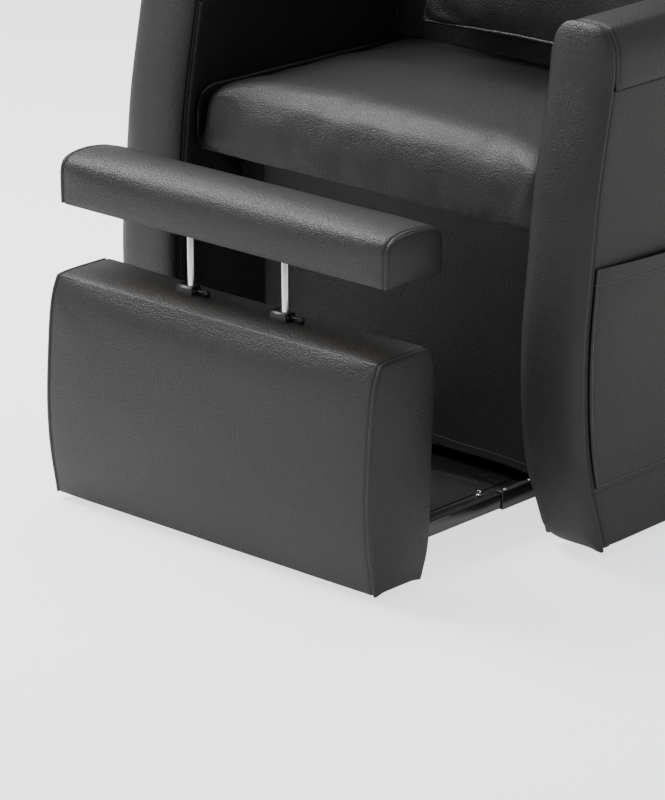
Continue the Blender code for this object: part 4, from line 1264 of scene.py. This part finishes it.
def arm_strip_cover(word, side):
    """The crowned strip: the arch drawn on a curved face, rounded at its edges."""
    name = "arm_front_" + word
    low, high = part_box(name)
    face_at = height_line(four_sides(end_outline(name, 0, side > 0))[3])
    top_low, top_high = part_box("arm_top_" + word)
    stretch = (high.x - low.x) / (top_high.x - top_low.x)
    arch = []
    for point in end_outline("arm_top_" + word, 1):
        rise = low.z if point.z < top_low.z + 0.001 else point.z + high.z - top_high.z
        arch.append(Vector((low.x + (point.x - top_low.x) * stretch, 0, rise)))
    sides = four_sides(arch, across=0)
    across = spread(line_length(sides[0]), STRIP_ROWS, 0.013)
    up = spread(line_length(sides[3]), STRIP_ROWS, 0.013)
    cells = (len(across) - 1, 3, len(up) - 1)
    border = {key: patch_point(sides, across[key[0]], up[key[1]]) for key in ring_keys(cells[0], cells[2])}
    ring = list(border.values())
    loop = list(zip(ring, ring[1:] + ring[:1]))

    def from_edge(point):
        best = 1.0
        for a, b in loop:
            run = b - a
            share = held_between((point - a).dot(run) / max(run.length_squared, 1e-12))
            best = min(best, (point - a - run * share).length)
        return best

    def place(i, j, k):
        point = patch_point(sides, across[i], up[k])
        edge = from_edge(point)
        short = max(0.0, 1 - edge / STRIP_REACH)
        rolled = STRIP_ROUND * (1 - (1 - short ** 2.4) ** 0.55)
        crown = STRIP_CROWN * (1 - math.exp(-edge / 0.018))
        front = rolled - crown if edge > 1e-4 else STRIP_ROUND - 0.0012
        depths = (front, STRIP_ROUND + 0.0004, STRIP_DEPTH - 0.0012, STRIP_DEPTH)
        point.y = face_at(point.z) + depths[j]
        return point

    piece, numbers = brick(name + "_cover", cells, place)
    inner_edge = low.x if side > 0 else high.x
    for vertex in piece.data.vertices:
        beside = max(0.0, 1 - abs(vertex.co.x - inner_edge) / FOOT_ROUND)
        below = max(0.0, 1 - (vertex.co.z - low.z) / (3 * FOOT_ROUND))
        vertex.co.z += 0.7 * FOOT_ROUND * beside ** 2 * below
    held = [numbers[key] for key in numbers if key[1] > 0 or (key[0], key[2]) in border]
    inflate(piece, set(held), 2.0, 0.002)
    wrinkle(piece, 0.0006, (20, 20, 16), lambda p: 1.0 if p.y < face_at(p.z) + 0.006 else 0.0)
    subdivide(piece)
    droop(piece, [Vector((x, face_at(low.z) + 0.006, low.z)) for x in (low.x + 0.004, high.x - 0.004)], 0.003)
    return dress(piece, "chair", [name])


for word, side in LEFT_AND_RIGHT:
    arm_strip_cover(word, side)

# %% [markdown]
# ### Arm tops
# The pad on an arm is a bolster that runs from front to back, so the bolster tool makes it,
# turned round. Its ends meet the front strip and the rear edge in topstitched seams. Its
# underside lies on the frame and stays flat.

# %% The tops of the arms
for word, _ in LEFT_AND_RIGHT:
    name = "arm_top_" + word
    top_low, top_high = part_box(name)
    top_sides = four_sides(end_outline(name, 1), across=0)
    top_cover, top_numbers, top_cells, top_ring = bolster(
        name + "_cover", top_sides, (top_low.y + SKIN_PLAY, top_high.y - SKIN_PLAY), 0.016,
        lambda d, p: stitched(d, 0.0008) if p.z > top_low.z + 0.004 else 0.0, lambda e: plain(e, 0.0), axis=1)
    wrinkle(top_cover, 0.0006, (20, 9, 20), lambda p: held_between((p.z - top_low.z) / 0.02))
    subdivide(top_cover)
    top_stitches = seam_lines(top_cover, top_numbers, top_cells, top_ring, lambda j, k: k == 0)
    dress(top_cover, "chair", [name])
    sew(name + "_stitches", top_stitches, "chair")

# %% [markdown]
# ### Arm sides
# Each side is a panel over thin foam, sewn to the front strip and closed behind. On the outer
# side a seam crosses at the foot of the pocket. One loop makes all four, because they differ
# only in that seam and in the way they face.

# %% The sides of the arms
POCKET_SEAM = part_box("side_pocket_right")[0].z
inner_low, inner_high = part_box("arm_inner_right")
SKIN_THICK = inner_high.x - inner_low.x
for word, side in LEFT_AND_RIGHT:
    for kind, turn in (("outer", side), ("inner", -side)):
        name = "arm_%s_%s" % (kind, word)
        low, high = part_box(name)
        sides = four_sides(end_outline(name, 0, turn > 0))
        seam_up = POCKET_SEAM - low.z

        def side_relief(gaps, point):
            shown = stitched(gaps[3], 0.0010) + plain(gaps[2], 0.0) + plain(gaps[0], 0.0)
            shown += stitched(gaps[1], 0.0010) - 0.0010
            if kind == "outer":
                shown -= 0.0015 * dip(gaps[0], seam_up, 0.0014)
            return shown - 0.0004

        cover, numbers, cells, _ = panel(
            name + "_cover", sides, Vector((-turn, 0, 0)), SKIN_THICK, 0.018, side_relief, rows=SEAM_ROWS,
            up_marks=around(seam_up, 0.003) if kind == "outer" else ())
        wrinkle(cover, 0.0012 if kind == "outer" else 0.0006, (1, 6, 5),
                lambda p: held_between((p.y - low.y) / 0.06))
        subdivide(cover)
        runs = [(on_cover(cover, numbers, [(i, 0, k) for k in range(1, cells[2])]), False)
                for i in (STITCH_ROW, cells[0] - STITCH_ROW)]
        dress(cover, "chair", [name])
        sew(name + "_stitches", runs, "chair")

# %% [markdown]
# ### Closing pieces
# A narrow panel closes each arm behind, between its two sides. No CAD part stands for it, so
# its size comes from the covers beside it.

# %% The pieces that close the arms behind
for word, side in LEFT_AND_RIGHT:
    outer_low, outer_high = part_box("arm_outer_" + word)
    inner_low, inner_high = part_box("arm_inner_" + word)
    low_x, high_x = sorted((side * (min(abs(inner_low.x), abs(inner_high.x)) + SKIN_THICK + 0.0004),
                            side * (max(abs(outer_low.x), abs(outer_high.x)) - SKIN_THICK - 0.0008)))
    closing_sides = upright_sides(high_x, low_x, outer_high.y - 0.0004, outer_low.z, outer_high.z)
    closing = panel("arm_rear_%s_cover" % word, closing_sides, Vector((0, -1, 0)), SKIN_THICK - 0.001, 0.016,
                    edge_sink)[0]
    subdivide(closing)
    dress(closing, "chair")

# %% [markdown]
# ## The side pockets
# A pocket is a flat piece of vinyl sewn down on three sides, with a folded hem on top that
# sags a little under its own weight. It is thin cloth, but it is stretched by its seams, so
# a formula gives its shape: flush at the seams, standing off by a finger's width at the hem.

# %% The pockets
POCKET_STITCH = 0.022    # stitch line under the hem
POCKET_FALL = 0.0065     # how far the hem sags in the middle
STEPS = 24               # pieces in each line round a pocket
for word, side in LEFT_AND_RIGHT:
    pocket_low, pocket_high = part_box("side_pocket_" + word)
    wall = side * max(abs(pocket_low.x), abs(pocket_high.x)) - side * (pocket_high.x - pocket_low.x)
    base_x = wall + side * 0.0032
    edge_at = height_line(four_sides(end_outline("arm_outer_" + word, 0, side > 0))[3])
    rise = [pocket_low.z + (pocket_high.z - pocket_low.z) * n / STEPS for n in range(STEPS + 1)]
    front_side = [Vector((base_x, edge_at(z) + 0.0125, z)) for z in rise]
    rear_y = pocket_high.y
    rear_side = [Vector((base_x, rear_y, z)) for z in rise]

    def hem(n):
        share = n / STEPS
        y = front_side[-1].y + (rear_y - front_side[-1].y) * share
        sag = POCKET_FALL * math.sin(math.pi * share)
        return Vector((base_x, y, pocket_high.z + 0.003 * (1 - share) - sag))

    top_line = [hem(n) for n in range(STEPS + 1)]
    front_side[-1], rear_side[-1] = top_line[0], top_line[-1]
    bottom_line = [front_side[0].lerp(rear_side[0], n / STEPS) for n in range(STEPS + 1)]

    def pocket_relief(gaps, point):
        bottom, right, top, left = gaps
        open_up = held_between(1 - top / 0.26) ** 0.8
        held = (1 - math.exp(-min(right, left) / 0.05)) * (1 - math.exp(-bottom / 0.05))
        sunk = dip(top, POCKET_STITCH, 0.0014) + dip(min(bottom, right, left), 0.004, 0.0016)
        return 0.0052 * open_up * held - 0.0009 * sunk

    pocket, numbers, cells, rows = panel(
        "side_pocket_%s_cloth" % word, (bottom_line, rear_side, top_line, front_side), Vector((-side, 0, 0)),
        0.0024, 0.016, pocket_relief, rows=(0.0014, 0.0040, 0.0070), follow=True,
        up_marks=around(line_length(front_side) - POCKET_STITCH, 0.0015))
    wrinkle(pocket, 0.0010, (1, 9, 9), lambda p: held_between((abs(p.x) - abs(base_x)) / 0.003))
    subdivide(pocket)
    row = row_near(rows[1], rows[3], rows[3] - POCKET_STITCH)
    hem_run = on_cover(pocket, numbers, [(i, 0, row) for i in range(1, cells[0])])
    border_keys = [(2, 0, k) for k in range(cells[2] - 1, 2, -1)]
    border_keys += [(i, 0, 2) for i in range(2, cells[0] - 1)]
    border_keys += [(cells[0] - 2, 0, k) for k in range(2, cells[2])]
    border_run = on_cover(pocket, numbers, border_keys)
    dress(pocket, "chair", ["side_pocket_" + word])
    sew("side_pocket_%s_stitches" % word, [(hem_run, False), (border_run, False)], "chair")

# %% [markdown]
# ## Hard parts
# Sheet steel, rods and mouldings keep their CAD shape, with the edges broken as a real part
# has them: about half a millimetre on sheet, more on the moulded collars. The seams between
# triangles are merged first, then flat faces are joined, so that only true edges are cut.

# %% Break the edges
def broken(node, width):
    """A copy of a CAD part with its sharp edges bevelled."""
    part = frame["nodes"][node]
    mesh = bmesh.new()
    mesh.from_mesh(part.data)
    bmesh.ops.remove_doubles(mesh, verts=mesh.verts, dist=1e-5)
    bmesh.ops.dissolve_limit(mesh, angle_limit=math.radians(1.0), verts=mesh.verts, edges=mesh.edges)
    sharp = [edge for edge in mesh.edges if edge.is_manifold and edge.calc_face_angle() > math.radians(40)]
    if width:
        bmesh.ops.bevel(mesh, geom=sharp, offset=width, offset_type="OFFSET", segments=2, profile=0.5,
                        affect="EDGES", clamp_overlap=True)
    bmesh.ops.recalc_face_normals(mesh, faces=mesh.faces)
    data = bpy.data.meshes.new(node + "_finish")
    mesh.to_mesh(data)
    mesh.free()
    data.shade_smooth()
    if width:
        data.set_sharp_from_angle(angle=math.radians(38))
    return dress(put(node + "_finish", data), BODY_OF[node], [node], slot=SLOT_OF[node],
                 material=STAINED if node in SHOWN_TIMBER else None)


BODY_OF = {node: part.parent.name.split(":")[1] for node, part in frame["nodes"].items()}
EDGES = {"tray_pan": 0.0005, "box_bracket": 0.0005, "base_frame": 0.0010, "post_plate": 0.0006,
         "box_floor": 0.0006}
for word, _ in LEFT_AND_RIGHT:
    EDGES.update({"tray_runner_" + word: 0.0009, "fixed_rail_" + word: 0.0005, "post_guide_" + word: 0.0007,
                  "release_button_" + word: 0.0004, "pan_bolt_" + word: 0.0006, "wheel_fork_" + word: 0.0004,
                  "front_wheel_" + word: 0.0010, "post_" + word: 0.0008,
                  "glide_front_" + word: 0.0015, "glide_rear_" + word: 0.0015})
for node, width in EDGES.items():
    broken(node, width)

# %% [markdown]
# ### Latch springs
# Each release button presses a small coil spring against its post, and the coil's one end moves
# with the button. Each coil is a smooth copy of its CAD part, with a mesh of its own.

# %% The latch springs
for word, _ in LEFT_AND_RIGHT:
    node = "latch_spring_" + word
    coil = broken(node, 0)
    low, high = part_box(node)
    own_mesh(coil)

# %% [markdown]
# ### Rail screws
# The fixed rails hang from the base with pan-head screws, all alike, so a Geometry Nodes
# tree sets one head on each point of a small mesh of places.

# %% The screw tree
def build_screw_tree():
    """A pan head with a crossed slot, set on every point."""
    tree, new, start, end = new_grower(
        "screw_heads", "Places", (("Radius", 0.0030), ("Height", 0.0014)), "Heads")
    dome = round_ball(new, 20, 10, 1.0)
    slot = new("GeometryNodeMeshCube")
    slot.inputs["Size"].default_value = (1.5, 0.24, 0.9)
    lifted = new("GeometryNodeTransform")
    lifted.inputs["Translation"].default_value = (0, 0, 1.0)
    crossing = new("GeometryNodeTransform")
    crossing.inputs["Rotation"].default_value = (0, 0, math.pi / 2)
    carve = new("GeometryNodeMeshBoolean")
    carve.operation = "DIFFERENCE"
    size = new("ShaderNodeCombineXYZ")
    heads = new("GeometryNodeInstanceOnPoints")
    wire(tree, (slot, "Mesh", lifted, "Geometry"), (lifted, "Geometry", crossing, "Geometry"),
         (dome, "Mesh", carve, "Mesh 1"), (lifted, "Geometry", carve, "Mesh 2"),
         (crossing, "Geometry", carve, "Mesh 2"), (start, "Radius", size, "X"), (start, "Radius", size, "Y"),
         (start, "Height", size, "Z"), (start, "Places", heads, "Points"), (carve, "Mesh", heads, "Instance"),
         (size, "Vector", heads, "Scale"))
    return end_grower(tree, start, end, heads, "Heads")


SCREW_TREE = build_screw_tree()

# %% The rail screws
rail_low, rail_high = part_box("fixed_rail_right")
screw_places = [(side * (rail_high.x + rail_low.x) / 2, y, rail_high.z)
                for _, side in LEFT_AND_RIGHT for y in (rail_low.y + 0.012, rail_low.y + 0.062)]
screw_mesh = bpy.data.meshes.new("rail_screw_places")
screw_mesh.from_pydata(screw_places, [], [])
rail_screws = grown("rail_screws", screw_mesh, SCREW_TREE, {"Finish": FINISHES["zinc"]})
dress(rail_screws, "chair", slot="zinc")
